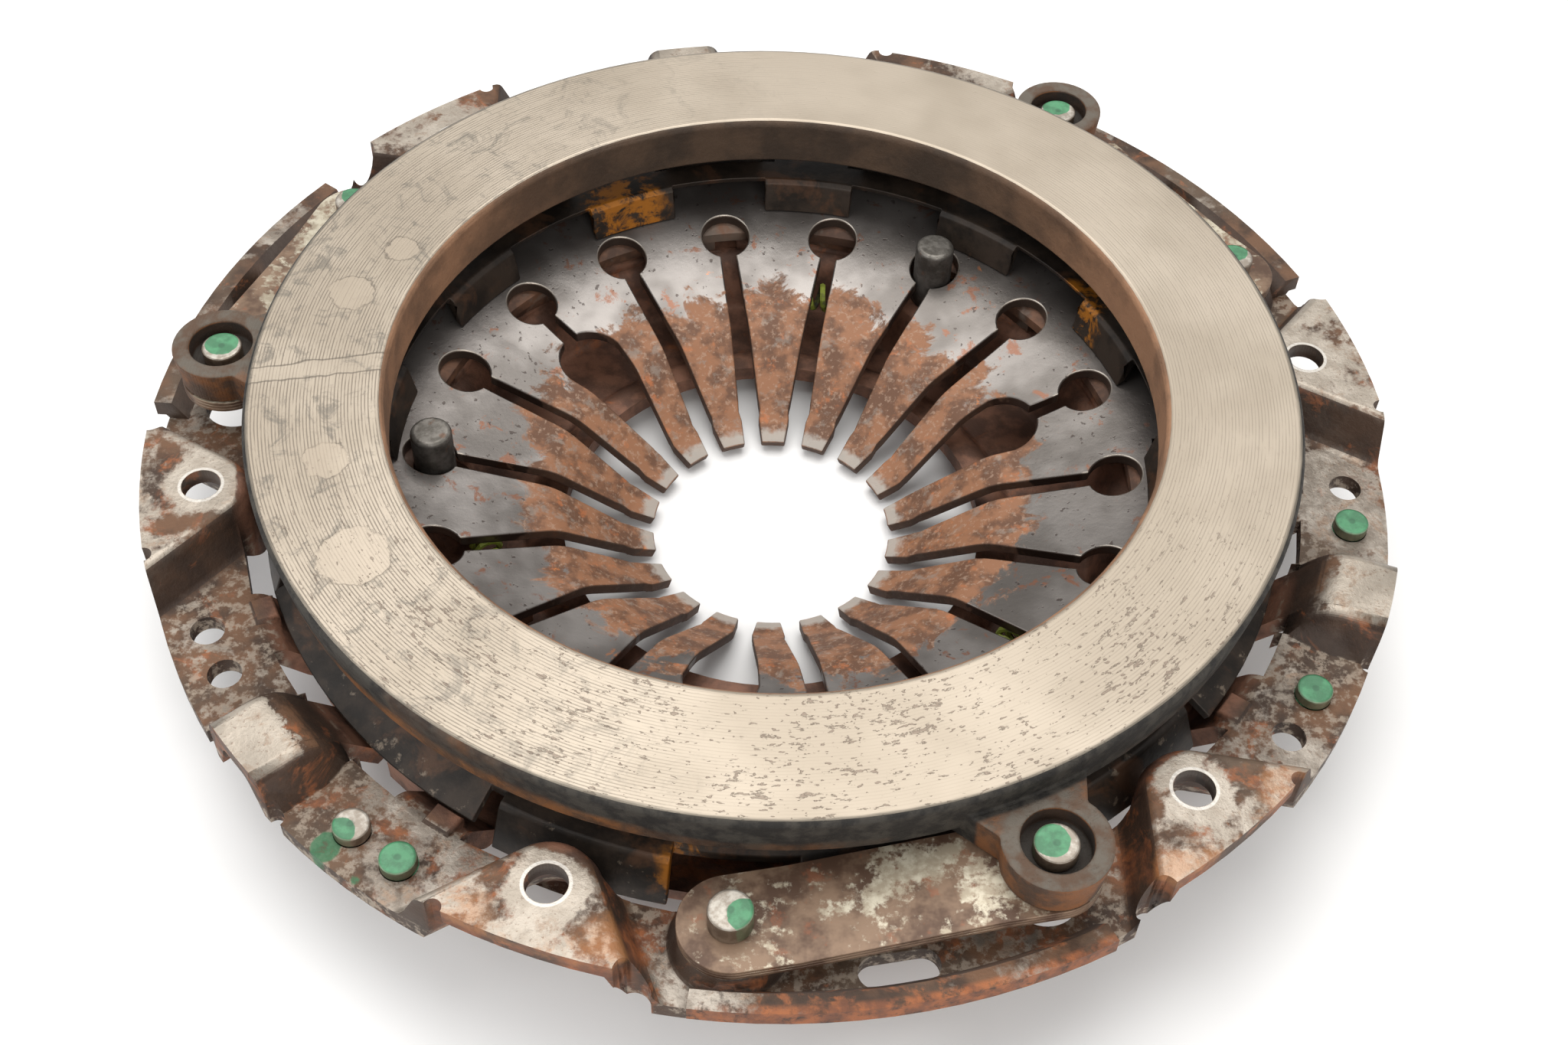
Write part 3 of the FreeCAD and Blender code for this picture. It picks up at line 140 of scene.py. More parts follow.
# Cover pressing: one sheet of mild steel, drawn in a press into a dish with a stepped flange.
# It is left bare, and age has given it brown rust with worn silver patches on the raised spots.
class Finish:
    """One material's nodes. Numbers may stand for sockets, and most methods return a socket."""

    def __init__(self, name):
        self.material = bpy.data.materials.new(name)
        self.material.use_nodes = True
        self.tree = self.material.node_tree
        self.shader = self.tree.nodes["Principled BSDF"]
        self.place = self.tree.nodes.new("ShaderNodeTexCoord").outputs["Object"]
        split = self.tree.nodes.new("ShaderNodeSeparateXYZ")
        self.join(self.place, split.inputs[0])
        self.x, self.y, self.z = split.outputs
        geometry = self.tree.nodes.new("ShaderNodeNewGeometry")
        normal = self.tree.nodes.new("ShaderNodeSeparateXYZ")
        self.join(geometry.outputs["True Normal"], normal.inputs[0])
        self.up = normal.outputs[2]

    def join(self, value, socket):
        """Sets a socket to a number or a colour, or links another socket to it."""
        if isinstance(value, (int, float)):
            socket.default_value = value
        elif isinstance(value, tuple):
            socket.default_value = value + (1,) * (len(socket.default_value) - len(value))
        else:
            self.tree.links.new(value, socket)

    def calc(self, operation, a, b=0.0, c=0.0):
        node = self.tree.nodes.new("ShaderNodeMath")
        node.operation = operation
        for value, socket in zip((a, b, c), node.inputs):
            self.join(value, socket)
        return node.outputs[0]

    def times(self, a, b):
        return self.calc("MULTIPLY", a, b)

    def times_plus(self, value, factor, start):
        """The value times the factor, added to the start."""
        return self.calc("MULTIPLY_ADD", value, factor, start)

    def length(self, a, b):
        return self.calc("SQRT", self.times_plus(a, a, self.times(b, b)))

    def radius(self):
        """Distance from the clutch axis."""
        return self.length(self.x, self.y)

    def angle(self):
        """Angle round the clutch axis."""
        return self.calc("ARCTAN2", self.y, self.x)

    def turn_from(self, first, count):
        """Angle from the nearest of some evenly spaced places, of which the first is given in degrees."""
        half = 180.0 / count
        shifted = self.calc("ADD", self.angle(), np.radians(half - first))
        wrapped = self.calc("FLOORED_MODULO", shifted, np.radians(2 * half))
        return self.calc("SUBTRACT", wrapped, np.radians(half))

    def vector(self, x, y, z):
        node = self.tree.nodes.new("ShaderNodeCombineXYZ")
        for value, socket in zip((x, y, z), node.inputs):
            self.join(value, socket)
        return node.outputs[0]

    def noise(self, scale, detail, rough, source=None, warp=0.0):
        """Cloudy noise, on Object coordinates unless another source is given."""
        node = self.tree.nodes.new("ShaderNodeTexNoise")
        self.join(source or self.place, node.inputs["Vector"])
        node.inputs["Scale"].default_value = scale
        node.inputs["Detail"].default_value = detail
        node.inputs["Roughness"].default_value = rough
        node.inputs["Distortion"].default_value = warp
        return node.outputs["Fac"]

    def ramp(self, value, first, last, start=0.0, end=1.0):
        """A soft step from start to end while the value goes from first to last, up or down."""
        node = self.tree.nodes.new("ShaderNodeMapRange")
        node.interpolation_type = "SMOOTHSTEP"
        for number, socket in zip((value, first, last, start, end), node.inputs):
            self.join(number, socket)
        return node.outputs[0]

    def fall(self, value, low, high):
        """A soft step from one to zero while the value goes from low to high."""
        return self.ramp(value, low, high, 1.0, 0.0)

    def between(self, mask, start, end):
        """A number that goes from start to end with the mask."""
        return self.ramp(mask, 0.0, 1.0, start, end)

    def mix(self, share, a, b):
        """The first colour where the share is zero, the second where it is one."""
        node = self.tree.nodes.new("ShaderNodeMix")
        node.data_type = "RGBA"
        for value, socket in zip((share, a, b), (node.inputs[0], node.inputs[6], node.inputs[7])):
            self.join(value, socket)
        return node.outputs[2]

    def tint(self, mask, share, under, over):
        """Lays a share of one colour over another where the mask is."""
        return self.mix(self.times(mask, share), under, over)

    def tone(self, scale, a, b, low=0.38, high=0.62, detail=4.0):
        """Two colours that run into each other in cloudy patches."""
        return self.mix(self.ramp(self.noise(scale, detail, 0.62), low, high), a, b)

    def from_spot(self, x, y, wobble):
        """Distance in plan from a point, made uneven by noise if there is a wobble."""
        off_x = self.calc("SUBTRACT", self.x, x)
        off_y = self.calc("SUBTRACT", self.y, y)
        away = self.length(off_x, off_y)
        if wobble == 0.0:
            return away
        uneven = self.noise(300.0, 3, 0.6)
        return self.times_plus(uneven, wobble, self.calc("SUBTRACT", away, wobble / 2))

    def spots(self, places, wobble, soft=0.0003):
        """One mask for several round spots, each given by x, y and radius in millimetres."""
        mask = 0.0
        for x, y, radius in places:
            away = self.from_spot(x / 1000, y / 1000, wobble)
            spot = self.fall(away, radius / 1000 - soft, radius / 1000 + soft)
            mask = self.calc("MAXIMUM", mask, spot)
        return mask

    def bump(self, height, strength, distance):
        """Relief on the surface, with the distance in metres."""
        node = self.tree.nodes.new("ShaderNodeBump")
        node.inputs["Strength"].default_value = strength
        node.inputs["Distance"].default_value = distance
        self.join(height, node.inputs["Height"])
        self.join(node.outputs[0], self.shader.inputs["Normal"])

    def done(self, colour, rough, metal):
        """Joins the last colour, roughness and metal share to the shader."""
        self.join(colour, self.shader.inputs["Base Color"])
        self.join(rough, self.shader.inputs["Roughness"])
        self.join(metal, self.shader.inputs["Metallic"])
        return self.material


def shade(red, green, blue):
    """A colour given in 0 to 255 as the eye sees it, turned into linear light."""
    values = np.array([red, green, blue]) / 255.0
    low = values / 12.92
    high = ((values + 0.055) / 1.055) ** 2.4
    return tuple(float(v) for v in np.where(values <= 0.04045, low, high))


def dress(name, material):
    """Gives a CAD node its material."""
    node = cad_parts[name]
    node.data.materials.clear()
    node.data.materials.append(material)


def softened(node, name, width, material, sharp_degrees=32.0, segments=2, merge=2e-5):
    """A copy of a CAD node's mesh with its edges rounded. Doubled corners are merged and flat
    neighbours joined, then a bevel runs along every edge that is sharper than the angle. A width
    of zero leaves the edges as they are. Edges below the angle are shaded smooth."""
    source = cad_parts[node]
    work = bmesh.new()
    work.from_mesh(source.data)
    bmesh.ops.remove_doubles(work, verts=work.verts, dist=merge)
    bmesh.ops.dissolve_degenerate(work, edges=work.edges, dist=merge)
    bmesh.ops.dissolve_limit(
        work, angle_limit=np.radians(1.0), verts=work.verts, edges=work.edges, delimit={"NORMAL"}
    )
    mesh = bpy.data.meshes.new(name)
    work.to_mesh(mesh)
    work.free()
    obj = bpy.data.objects.new(name, mesh)
    bpy.context.collection.objects.link(obj)
    mesh.materials.append(material)
    if width > 0.0:
        bevel = obj.modifiers.new("rounded_edges", "BEVEL")
        bevel.width = width
        bevel.segments = segments
        bevel.limit_method = "ANGLE"
        bevel.angle_limit = np.radians(sharp_degrees)
        bevel.use_clamp_overlap = False
        bevel.loop_slide = False
    mesh.shade_smooth()
    mesh.set_sharp_from_angle(angle=np.radians(sharp_degrees + 2))
    even = obj.modifiers.new("even_shading", "WEIGHTED_NORMAL")
    even.keep_sharp = True
    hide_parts(node)
    return obj


pad_circle = 0.12604
pad_hole_radius = 0.0046
first_pad, pad_count = 12.5, 6
first_bump, bump_count = -17.5, 3
paint_smear = [(-82.7, -108.3, 3.1), (-76.0, -115.2, 0.9), (-66.5, -113.0, 0.8)]


def cover_finish():
    """Silver wear on the raised tops, mottled scale on the flange, brown rust on walls and dish, with
    painted shade on the walls and a painted highlight round each hole.
    """
    steel = Finish("cover_steel")
    r = steel.radius()
    broad = steel.noise(48, 5, 0.62, warp=0.5)
    fine = steel.noise(380, 5, 0.7)
    grain = steel.noise(1300, 3, 0.6)
    flat = steel.ramp(steel.up, 0.55, 0.92)
    top = steel.ramp(steel.z, -0.0032, -0.0012)
    inside = steel.fall(r, 0.117, 0.1205)
    # Round each bolt pad: the distance from its hole, and the ring that the washer presses.
    turn = steel.turn_from(first_pad, pad_count)
    hole_x = steel.times_plus(r, steel.calc("COSINE", turn), -pad_circle)
    hole_y = steel.times(r, steel.calc("SINE", turn))
    from_hole = steel.length(hole_x, hole_y)
    washer = steel.times(steel.fall(from_hole, 0.0060, 0.0095), top)
    # The crest of each raised bump, and the parts of the flange that lie lowest.
    bump_turn = steel.turn_from(first_bump, bump_count)
    across = steel.calc("ABSOLUTE", steel.times(r, steel.calc("SINE", bump_turn)))
    crest = steel.times_plus(fine, 0.007, r)
    crest = steel.times(steel.ramp(crest, 0.1300, 0.1325), steel.fall(across, 0.0072, 0.0100))
    crest = steel.times(crest, steel.ramp(steel.z, -0.0075, -0.0060))
    low_ledge = steel.times(steel.ramp(steel.z, -0.0105, -0.0112), steel.ramp(r, 0.1165, 0.1185))
    # Worn silver patches come where the cloudy noise is high, and more so on the raised spots.
    shape = steel.times_plus(fine, 0.42, broad)
    shape = steel.times_plus(top, 0.075, shape)
    shape = steel.times_plus(washer, 0.14, shape)
    shape = steel.times_plus(crest, 0.22, shape)
    shape = steel.times_plus(inside, -0.26, shape)
    patch = steel.ramp(shape, 0.70, 0.83)
    patch = steel.times(patch, steel.times_plus(flat, 0.94, 0.06))
    # Brown scale, with painted shade on the walls and redder in the dish.
    brown = steel.tone(85, shade(104, 74, 52), shade(58, 41, 29))
    brown = steel.mix(steel.ramp(steel.noise(34, 4, 0.6), 0.52, 0.68), brown, shade(92, 75, 60))
    wall_shade = steel.times(steel.fall(flat, 0.2, 0.9), 0.75)
    brown = steel.mix(wall_shade, brown, shade(48, 34, 26))
    redder = steel.mix(inside, brown, steel.tone(120, shade(134, 94, 74), shade(90, 63, 50)))
    # Orange rust: stains, the outer edge and the feet of the pads, most of it at the front.
    front = steel.ramp(steel.y, -0.055, -0.105)
    stain = steel.times_plus(front, 0.05, steel.noise(75, 5, 0.72, warp=0.7))
    stain = steel.times_plus(top, 0.03, stain)
    stain = steel.times(steel.ramp(stain, 0.575, 0.68), 0.55)
    edge = steel.times(steel.ramp(r, 0.1392, 0.1406), steel.times(front, steel.ramp(fine, 0.33, 0.52)))
    foot = steel.times(steel.ramp(from_hole, 0.0135, 0.0165), steel.ramp(from_hole, 0.0235, 0.0190))
    foot = steel.times(foot, steel.times(front, steel.ramp(broad, 0.40, 0.54)))
    orange = steel.calc("MAXIMUM", stain, steel.times(steel.calc("MAXIMUM", edge, foot), 0.70))
    colour = steel.mix(orange, redder, steel.tone(260, shade(170, 100, 56), shade(124, 74, 48)))
    # Worn metal, palest on the pads, with brown left in it.
    silver = steel.tone(190, shade(164, 155, 144), shade(126, 116, 105))
    silver = steel.tint(top, 0.40, silver, shade(194, 183, 168))
    silver = steel.tint(crest, 0.45, silver, shade(172, 161, 147))
    worn_brown = steel.ramp(steel.noise(150, 5, 0.72, warp=0.5), 0.52, 0.66)
    worn_brown = steel.times(worn_brown, steel.times_plus(washer, -0.6, 0.75))
    silver = steel.mix(worn_brown, silver, shade(140, 116, 96))
    speck = steel.times(steel.ramp(grain, 0.60, 0.68), 0.55)
    silver = steel.mix(speck, silver, shade(104, 82, 66))
    mottle = steel.times(low_ledge, steel.ramp(fine, 0.47, 0.60))
    colour = steel.tint(mottle, 0.8, colour, shade(160, 146, 130))
    colour = steel.mix(patch, colour, silver)
    # A golden tint on the front pads, a painted highlight on the chamfer round each hole and a smear of
    # green paint.
    golden = steel.times(steel.times(front, top), steel.ramp(from_hole, 0.0095, 0.0150))
    golden = steel.times(golden, steel.fall(from_hole, 0.0215, 0.0255))
    golden = steel.times(golden, steel.ramp(steel.noise(110, 5, 0.7, warp=0.4), 0.43, 0.60))
    colour = steel.tint(golden, 0.5, colour, shade(166, 112, 66))
    # Painted highlight: a thin bright ring on the chamfer round each pad hole.
    ring = steel.calc("ABSOLUTE", steel.calc("SUBTRACT", from_hole, pad_hole_radius))
    ring = steel.fall(ring, 0.0002, 0.00045)
    colour = steel.tint(steel.times(ring, top), 0.7, colour, shade(214, 210, 203))
    smear = steel.spots(paint_smear, 0.002)
    smear = steel.times(smear, steel.ramp(fine, 0.38, 0.50, 0.35, 0.85))
    colour = steel.mix(smear, colour, shade(46, 104, 70))
    rough = steel.between(patch, 0.66, 0.45)
    metal = steel.between(patch, 0.12, 0.45)
    height = steel.times_plus(fine, 0.7, steel.times(grain, 0.5))
    steel.bump(steel.times_plus(patch, 0.10, height), 0.45, 0.0005)
    return steel.done(colour, rough, metal)


cover = softened("cover", "cover_skin", 0.0, cover_finish(), sharp_degrees=48.0, merge=6e-5)
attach(cover, "cover")


# Locating pegs: three turned steel pegs, riveted to bosses of the cover. They stand up through
# keyholes of the diaphragm and keep it in place. The tops are worn paler than the sides.
def peg_finish():
    """Dark grey sides and a paler, worn top."""
    steel = Finish("peg_steel")
    grain = steel.noise(700, 4, 0.65)
    side = steel.tone(220, shade(92, 88, 84), shade(62, 58, 54))
    top = steel.tone(400, shade(128, 124, 118), shade(98, 94, 88))
    colour = steel.mix(steel.ramp(steel.up, 0.3, 0.8), side, top)
    rust = steel.ramp(steel.noise(260, 4, 0.65), 0.60, 0.70)
    colour = steel.tint(rust, 0.5, colour, shade(112, 76, 54))
    steel.bump(grain, 0.25, 0.0003)
    return steel.done(colour, steel.ramp(grain, 0.3, 0.7, 0.35, 0.55), 0.6)


peg_steel = peg_finish()
for letter in "abc":
    peg = softened(f"locating_peg_{letter}", f"peg_skin_{letter}", 0.0004, peg_steel)
    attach(peg, "cover")


# Adjuster ring and its coil springs: a pressed ring with ramps that takes up wear, turned by
# three small springs of round wire marked with yellowish green paint.
def adjuster_finish():
    """Brown, lightly rusted sheet."""
    steel = Finish("adjuster_steel")
    colour = steel.tone(140, shade(118, 84, 64), shade(78, 56, 44))
    grey = steel.ramp(steel.noise(90, 4, 0.6), 0.52, 0.62)
    colour = steel.tint(grey, 0.6, colour, shade(122, 112, 102))
    steel.bump(steel.noise(600, 4, 0.65), 0.25, 0.0003)
    return steel.done(colour, 0.62, 0.25)


def painted_wire():
    """Spring wire with a coat of worn paint."""
    wire = Finish("coil_wire")
    coat = wire.ramp(wire.noise(160, 4, 0.6), 0.40, 0.52)
    colour = wire.mix(coat, shade(86, 82, 72), shade(140, 152, 62))
    return wire.done(colour, 0.45, 0.3)


dress("adjuster_ring", adjuster_finish())
coil_wire = painted_wire()
for letter in "abc":
    dress(f"adjuster_spring_{letter}", coil_wire)


# Diaphragm spring: one coned ring of hardened spring steel, slotted into eighteen fingers. It is
# grey from the furnace, brown with rust near the middle, and its tips are worn bright.
def diaphragm_finish():
    """Satin grey steel outside a ragged circle, rust inside it, and silver at the tips."""
    steel = Finish("spring_steel")
    r = steel.radius()
    # The rust ends at a ragged circle, which lies a little further out at the back.
    ragged = steel.noise(95, 6, 0.68, warp=0.7)
    grain = steel.noise(800, 4, 0.65)
    back = steel.ramp(steel.y, -0.05, 0.05)
    edge = steel.times_plus(ragged, 0.040, r)
    edge = steel.times_plus(back, -0.004, edge)
    rusty = steel.fall(edge, 0.0755, 0.0790)
    thin = steel.fall(steel.times_plus(steel.noise(420, 4, 0.7), 0.012, edge), 0.0815, 0.0850)
    rusty = steel.calc("MAXIMUM", rusty, steel.times(thin, steel.ramp(grain, 0.48, 0.58)))
    # Grey steel with painted shade on the right and near its rim by the bore of the plate, with stains
    # and pits.
    grey = steel.tone(42, shade(140, 135, 131), shade(104, 99, 95), detail=3.0)
    right_shade = steel.ramp(steel.x, 0.015, 0.075)
    grey = steel.tint(right_shade, 0.4, grey, shade(80, 75, 70))
    stain = steel.ramp(steel.noise(150, 5, 0.7, warp=0.4), 0.58, 0.66)
    grey = steel.tint(stain, 0.8, grey, shade(126, 82, 60))
    pits = steel.ramp(steel.noise(620, 3, 0.5), 0.655, 0.70)
    grey = steel.tint(pits, 0.75, grey, shade(62, 52, 48))
    rim_shade = steel.ramp(r, 0.079, 0.088)
    grey = steel.tint(rim_shade, 0.6, grey, shade(58, 52, 50))
    # Rust from brown to orange, worn through in places.
    brown = steel.tone(130, shade(142, 99, 71), shade(100, 69, 50), low=0.42, high=0.58, detail=5.0)
    brown = steel.tint(steel.ramp(grain, 0.54, 0.64), 0.5, brown, shade(168, 142, 122))
    wear = steel.ramp(steel.noise(230, 5, 0.7, warp=0.3), 0.54, 0.66)
    brown = steel.tint(wear, 0.55, brown, shade(138, 128, 118))
    orange = steel.ramp(steel.noise(210, 5, 0.68), 0.58, 0.70)
    brown = steel.tint(orange, 0.6, brown, shade(182, 108, 62))
    # Painted highlight on the bevels round the keyholes, a few orange stains, painted shade on the walls
    # in the slots and bright tips.
    keyhole_highlight = steel.times(steel.ramp(r, 0.0715, 0.0725), steel.ramp(r, 0.0862, 0.0852))
    keyhole_highlight = steel.times(keyhole_highlight, steel.ramp(steel.up, 0.93, 0.90))
    grey = steel.mix(keyhole_highlight, grey, shade(168, 160, 150))
    colour = steel.mix(rusty, grey, brown)
    accent = steel.times(steel.ramp(steel.noise(90, 6, 0.7, warp=0.5), 0.65, 0.73), 0.75)
    colour = steel.mix(accent, colour, shade(200, 120, 58))
    # Painted shade on the steep walls of the slots between the fingers.
    wall = steel.fall(steel.up, 0.30, 0.60)
    colour = steel.tint(wall, 0.85, colour, shade(60, 42, 32))
    tip = steel.fall(steel.times_plus(steel.noise(420, 3, 0.6), 0.004, r), 0.0320, 0.0338)
    tip = steel.times(tip, steel.ramp(steel.up, 0.6, 0.85))
    colour = steel.tint(tip, 0.85, colour, shade(168, 162, 154))
    rough = steel.between(rusty, 0.33, 0.66)
    metal = steel.between(rusty, 0.70, 0.12)
    steel.bump(steel.times_plus(grain, 0.6, steel.times(pits, -0.5)), 0.22, 0.0003)
    return steel.done(colour, rough, metal)


diaphragm = softened("diaphragm_spring", "diaphragm_skin", 0.00035, diaphragm_finish())
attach(diaphragm, "diaphragm")
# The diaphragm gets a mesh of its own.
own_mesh(diaphragm)


# Sensor spring: a bent disc of thin spring steel. Twelve tabs press the diaphragm on to the
# adjuster ring, and six lobes hold the disc in the windows of the cover.
yellow_stains = [(-40.8, 76.8, 10.0), (-13.0, -110.6, 5.0), (72.0, 47.5, 7.0)]


def sensor_finish():
    """Dark brown steel, darkened further as painted shade from the plate above it, with rust and a few
    bright yellow stains.
    """
    steel = Finish("sensor_steel")
    r = steel.radius()
    grain = steel.noise(700, 4, 0.65)
    # The dark base tone is partly the steel and partly painted shade, as the disc lies in the gap under
    # the plate.
    colour = steel.tone(110, shade(56, 46, 38), shade(32, 26, 21))
    rust = steel.ramp(steel.noise(75, 5, 0.65, warp=0.4), 0.54, 0.66)
    colour = steel.tint(rust, 0.55, colour, shade(96, 66, 46))
    worn = steel.times(steel.ramp(r, 0.108, 0.1115), steel.ramp(steel.noise(240, 4, 0.7), 0.60, 0.70))
    colour = steel.tint(worn, 0.7, colour, shade(140, 126, 110))
    yellow = steel.spots(yellow_stains, 0.008, 0.002)
    yellow = steel.times(yellow, steel.ramp(steel.noise(170, 5, 0.7, warp=0.4), 0.43, 0.56))
    colour = steel.tint(yellow, 0.85, colour, shade(182, 114, 30))
    steel.bump(grain, 0.25, 0.0003)
    return steel.done(colour, 0.52, 0.35)


sensor = softened("sensor_spring", "sensor_skin", 0.0003, sensor_finish())
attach(sensor, "cover")
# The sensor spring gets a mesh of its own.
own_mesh(sensor)


# Pressure plate: a ring of grey cast iron with three lugs. Its face is turned flat and worn by
# the disc, with fine lines, polished spots and pits. The outer wall stays rough as it was cast.
line_pitch = 0.00072
polished_spots = [(-96.2, 18.1, 5.2), (-92.8, -32.4, 5.0), (-82.5, -57.5, 7.5), (-87.2, 33.0, 4.0)]
beam_slope = -0.235
beam_start = 0.0175
beam_half_width = 0.0025
lug_holes = [(56.33, -111.37), (-124.61, 6.90), (68.27, 104.46)]
counterbore_mm = 7.3
clean_rim_mm = 11.0


def plate_finish():
    """The face is picked out by its height and by looking up. Lugs and walls are rough."""
    iron = Finish("plate_iron")
    r = iron.radius()
    turn = iron.angle()
    face = iron.times(iron.ramp(iron.z, 0.0149, 0.0152), iron.ramp(iron.up, 0.8, 0.95))
    warm = iron.tone(20, shade(180, 168, 152), shade(164, 152, 136), detail=3.0)
    left = iron.times_plus(iron.noise(22, 3, 0.5), 0.07, iron.x)
    left = iron.fall(left, -0.050, 0.045)
    # Turning lines run round the face, one pitch apart, and are broken along their length.
    wave = iron.times_plus(iron.noise(26, 3, 0.5), 7.0, iron.times(r, 2 * np.pi / line_pitch))
    line = iron.ramp(iron.calc("SINE", wave), 0.15, 0.95)
    streak = iron.vector(iron.times(turn, 9.0), iron.times(r, 1500.0), 0.0)
    broken = iron.noise(1.0, 4, 0.7, source=streak)
    line = iron.times(line, iron.ramp(broken, 0.36, 0.56))
    # Polished spots on the left, each with a dark, partly worn outline.
    smooth = iron.spots(polished_spots, 0.004, 0.0004)
    ring = iron.calc("SUBTRACT", 1.0, iron.calc("ABSOLUTE", iron.times_plus(smooth, 2.0, -1.0)))
    ring = iron.times(ring, iron.ramp(iron.noise(170, 3, 0.6), 0.40, 0.56, 0.25, 0.8))
    # A light radial band, 5 mm wide, crosses the left side of the face between two thin dark lines.
    beam = iron.times_plus(iron.x, beam_slope, iron.calc("ADD", iron.y, -beam_start))
    beam = iron.times_plus(iron.noise(130, 3, 0.6), 0.0024, iron.calc("ADD", beam, -0.0012))
    beam = iron.calc("ABSOLUTE", beam)
    west = iron.ramp(iron.x, -0.080, -0.086)
    in_beam = iron.times(iron.fall(beam, 0.0022, 0.0027), west)
    beam_line = iron.calc("ABSOLUTE", iron.calc("SUBTRACT", beam, beam_half_width))
    beam_line = iron.times(iron.fall(beam_line, 0.00012, 0.00038), west)
    # The lines are strong on the left, faint in the middle and weak on the right.
    right = iron.ramp(iron.x, 0.035, 0.085)
    strength = iron.times_plus(left, 0.74, iron.times_plus(right, 0.24, 0.10))
    strength = iron.times(strength, iron.times_plus(in_beam, -0.5, 1.0))
    strength = iron.times(strength, iron.times_plus(smooth, -0.62, 1.0))
    colour = iron.tint(line, strength, warm, shade(120, 110, 98))
    cloud = iron.ramp(iron.noise(120, 7, 0.78, warp=0.8), 0.505, 0.64)
    cloud = iron.times(cloud, iron.times(left, iron.times_plus(smooth, -0.9, 1.0)))
    colour = iron.tint(cloud, 0.66, colour, shade(106, 101, 93))
    colour = iron.tint(smooth, 0.10, colour, shade(190, 172, 152))
    colour = iron.mix(ring, colour, shade(96, 88, 78))
    colour = iron.tint(beam_line, 0.7, colour, shade(96, 88, 78))
    # Pits drawn out along the turning lines and small dots, crowded together at the front.
    along = iron.vector(iron.times(turn, 22.0), iron.times(r, 620.0), 0.0)
    small = iron.vector(iron.times(turn, 60.0), iron.times(r, 1150.0), 3.0)
    front = iron.ramp(iron.y, -0.015, -0.075)
    crowd = iron.ramp(iron.noise(62, 4, 0.6), 0.47, 0.60)
    crowd = iron.times(crowd, iron.times_plus(front, 0.075, -0.02))
    pits = iron.ramp(iron.calc("ADD", iron.noise(1.0, 4, 0.72, source=along), crowd), 0.625, 0.665)
    pits = iron.times(pits, iron.times_plus(front, 0.80, 0.10))
    dots = iron.ramp(iron.calc("ADD", iron.noise(1.0, 2, 0.5, source=small), crowd), 0.665, 0.705)
    dots = iron.times(dots, iron.times_plus(front, 0.85, 0.10))
    pits = iron.calc("MAXIMUM", pits, dots)
    colour = iron.tint(pits, 0.72, colour, shade(112, 96, 84))
    ragged = iron.times_plus(broken, 0.0018, r)
    rim = iron.ramp(ragged, 0.1142, 0.1150)
    colour = iron.tint(rim, 0.75, colour, shade(98, 92, 82))
    # The cast outer wall: dark iron, darkened further as painted shade, with rust low down and at the
    # front left corner.
    cast = iron.noise(300, 6, 0.72)
    low = iron.ramp(iron.z, 0.0105, 0.0060)
    corner = iron.times(iron.ramp(iron.x, 0.0, -0.045), iron.ramp(iron.y, -0.06, -0.10))
    amount = iron.times_plus(iron.noise(36, 4, 0.6), 0.8, iron.times(corner, 0.36))
    amount = iron.times_plus(low, 0.32, amount)
    rusty = iron.ramp(amount, 0.66, 0.98)
    wall = iron.tone(240, shade(56, 52, 46), shade(26, 23, 20))
    rust = iron.tone(130, shade(88, 58, 34), shade(140, 88, 42), low=0.42, high=0.62)
    wall = iron.tint(rusty, 0.75, wall, rust)
    # Lugs: grey and brown on top, rust on their sides and away from the rims of the counterbores.
    lug = iron.ramp(r, 0.1155, 0.1165)
    lug_skin = iron.tone(170, shade(104, 96, 86), shade(92, 70, 54))
    lug_side = iron.tone(120, shade(70, 50, 36), shade(126, 78, 40))
    lug_skin = iron.mix(iron.fall(iron.up, 0.3, 0.7), lug_skin, lug_side)
    near_rim = iron.spots([(x, y, clean_rim_mm) for x, y in lug_holes], 0.003, 0.0012)
    lug_rust = iron.times(iron.calc("SUBTRACT", 1.0, near_rim), iron.ramp(cast, 0.40, 0.56))
    lug_skin = iron.tint(lug_rust, 0.6, lug_skin, shade(128, 82, 48))
    wall = iron.tint(lug, 0.85, wall, lug_skin)
    # The bore, with painted light at its front and painted shade at its back, and painted shade in the
    # counterbores of the lugs.
    bore = iron.fall(r, 0.0858, 0.0866)
    bore_back_shade = iron.ramp(iron.y, 0.03, 0.08)
    bore_lit = iron.tone(60, shade(150, 112, 84), shade(120, 90, 68))
    bore_shaded = iron.tone(60, shade(80, 62, 47), shade(58, 45, 34))
    bore_skin = iron.mix(bore_back_shade, bore_lit, bore_shaded)
    wall = iron.mix(bore, wall, bore_skin)
    counterbores = iron.spots([(x, y, counterbore_mm) for x, y in lug_holes], 0.0, 0.0002)
    # Painted shade inside the counterbores, below their rims.
    counterbore_shade = iron.times(counterbores, iron.fall(iron.z, 0.0083, 0.0088))
    wall = iron.tint(counterbore_shade, 0.85, wall, shade(38, 34, 30))
    colour = iron.mix(face, wall, colour)
    rough = iron.between(face, 0.74, 0.44)
    metal = iron.between(face, 0.12, 0.50)
    lines = iron.times_plus(iron.times(line, strength), -0.10, iron.times(pits, -0.25))
    rough_skin = iron.times_plus(iron.fall(face, 0.0, 1.0), iron.times(cast, 0.9), lines)
    iron.bump(rough_skin, 0.6, 0.0008)
    return iron.done(colour, rough, metal)


plate = softened("pressure_plate", "plate_skin", 0.0006, plate_finish(), segments=3)
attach(plate, "pressure_plate")


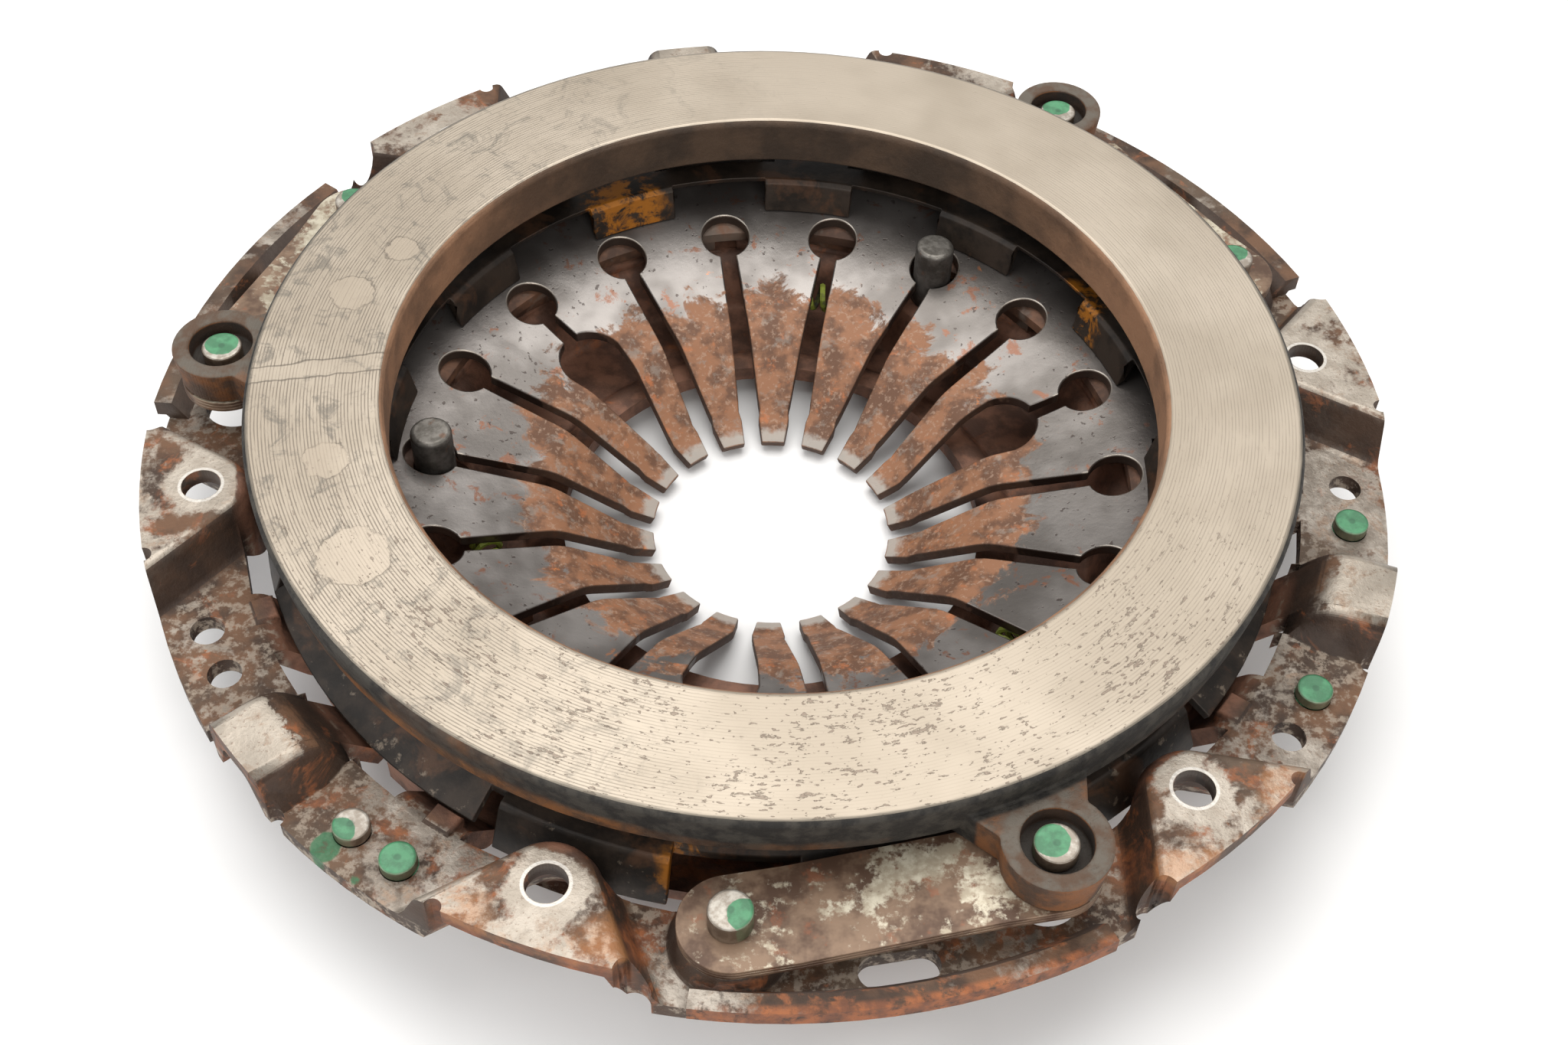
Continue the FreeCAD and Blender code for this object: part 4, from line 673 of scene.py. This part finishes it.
# Straps: three packs of three flat leaves of spring steel strip. Rivets hold one end to the
# cover and the other to a lug, so that the straps drive the plate and lift it off the disc.
def strap_finish():
    """Brown strip with cream patches along its middle."""
    steel = Finish("strap_steel")
    shape = steel.times_plus(steel.noise(520, 4, 0.7), 0.5, steel.noise(75, 4, 0.62, warp=0.4))
    patch = steel.times(steel.ramp(shape, 0.76, 0.87), steel.ramp(steel.up, 0.6, 0.9))
    brown = steel.tone(110, shade(132, 108, 88), shade(84, 62, 48))
    red = steel.times(steel.ramp(steel.noise(160, 5, 0.7), 0.57, 0.68), 0.5)
    brown = steel.mix(red, brown, shade(142, 84, 56))
    colour = steel.mix(patch, brown, steel.tone(300, shade(196, 188, 168), shade(160, 148, 128)))
    steel.bump(shape, 0.25, 0.0003)
    return steel.done(colour, steel.between(patch, 0.52, 0.42), 0.3)


strap_steel = strap_finish()
cover_degrees, lug_degrees = -91.6, -63.17
for index, letter in enumerate("abc"):
    angles = np.radians([cover_degrees + 120 * index, lug_degrees + 120 * index])
    for level in (1, 2, 3):
        node = f"strap_leaf_{letter}{level}"
        leaf = softened(node, f"strap_skin_{letter}{level}", 0.00012, strap_steel, segments=1)
        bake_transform(leaf)


# Rivets: plain steel heads, closed cold. A dab of green inspection paint covers all or part of
# each head, and a small dot marks the middle where the tool left its point.
dot_mm = 0.75


def rivet_finish(name, dabs, centres):
    """A pale worn head on a brown shank, with paint where the dabs lie in plan."""
    steel = Finish(name)
    grain = steel.noise(500, 4, 0.6)
    top = steel.ramp(steel.up, 0.5, 0.9)
    pale = steel.mix(steel.ramp(grain, 0.35, 0.6), shade(186, 180, 170), shade(148, 138, 126))
    brown = steel.tone(220, shade(122, 106, 90), shade(88, 72, 58))
    colour = steel.mix(top, brown, pale)
    paint = steel.spots(dabs, 0.0012, 0.0001)
    paint = steel.times(paint, steel.times_plus(top, 0.75, 0.2))
    colour = steel.mix(paint, colour, steel.tone(300, shade(70, 140, 98), shade(50, 112, 76)))
    middle = steel.times(steel.spots([(x, y, dot_mm) for x, y in centres], 0.0, 0.00025), top)
    colour = steel.tint(middle, 0.5, colour, shade(34, 70, 50))
    steel.bump(grain, 0.2, 0.0002)
    return steel.done(colour, 0.48, steel.between(paint, 0.4, 0.0))


# Each row gives the body that the rivets ride on, their circle in millimetres, their angles in
# degrees and the dabs of paint.
rivet_rows = {
    "strap_cover_rivets": (
        "cover",
        124.8,
        (-91.6, 28.4, 148.4),
        [(-0.6, -125.7, 3.5), (109.2, 61.6, 4.0), (-105.4, 67.2, 4.0)],
    ),
    "strap_lug_rivets": (
        "pressure_plate",
        124.8,
        (-63.2, 56.8, 176.8),
        [(55.2, -110.9, 3.6), (-124.8, 7.7, 3.7), (67.7, 106.3, 3.6)],
    ),
    "balance_rivets": (
        "cover",
        130.5,
        (-6.8, -28.2, -126.8, -121.4),
        [(129.6, -15.5, 4.2), (115.0, -61.7, 4.2), (-80.0, -106.2, 3.1), (-68.0, -111.4, 4.2)],
    ),
}
for node, (body, circle, degrees, dabs) in rivet_rows.items():
    angles = np.radians(degrees)
    centres = list(zip(circle * np.cos(angles), circle * np.sin(angles)))
    finish = rivet_finish(f"{node}_steel", dabs, centres)
    heads = softened(node, node.replace("rivets", "heads"), 0.00035, finish)
    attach(heads, body)
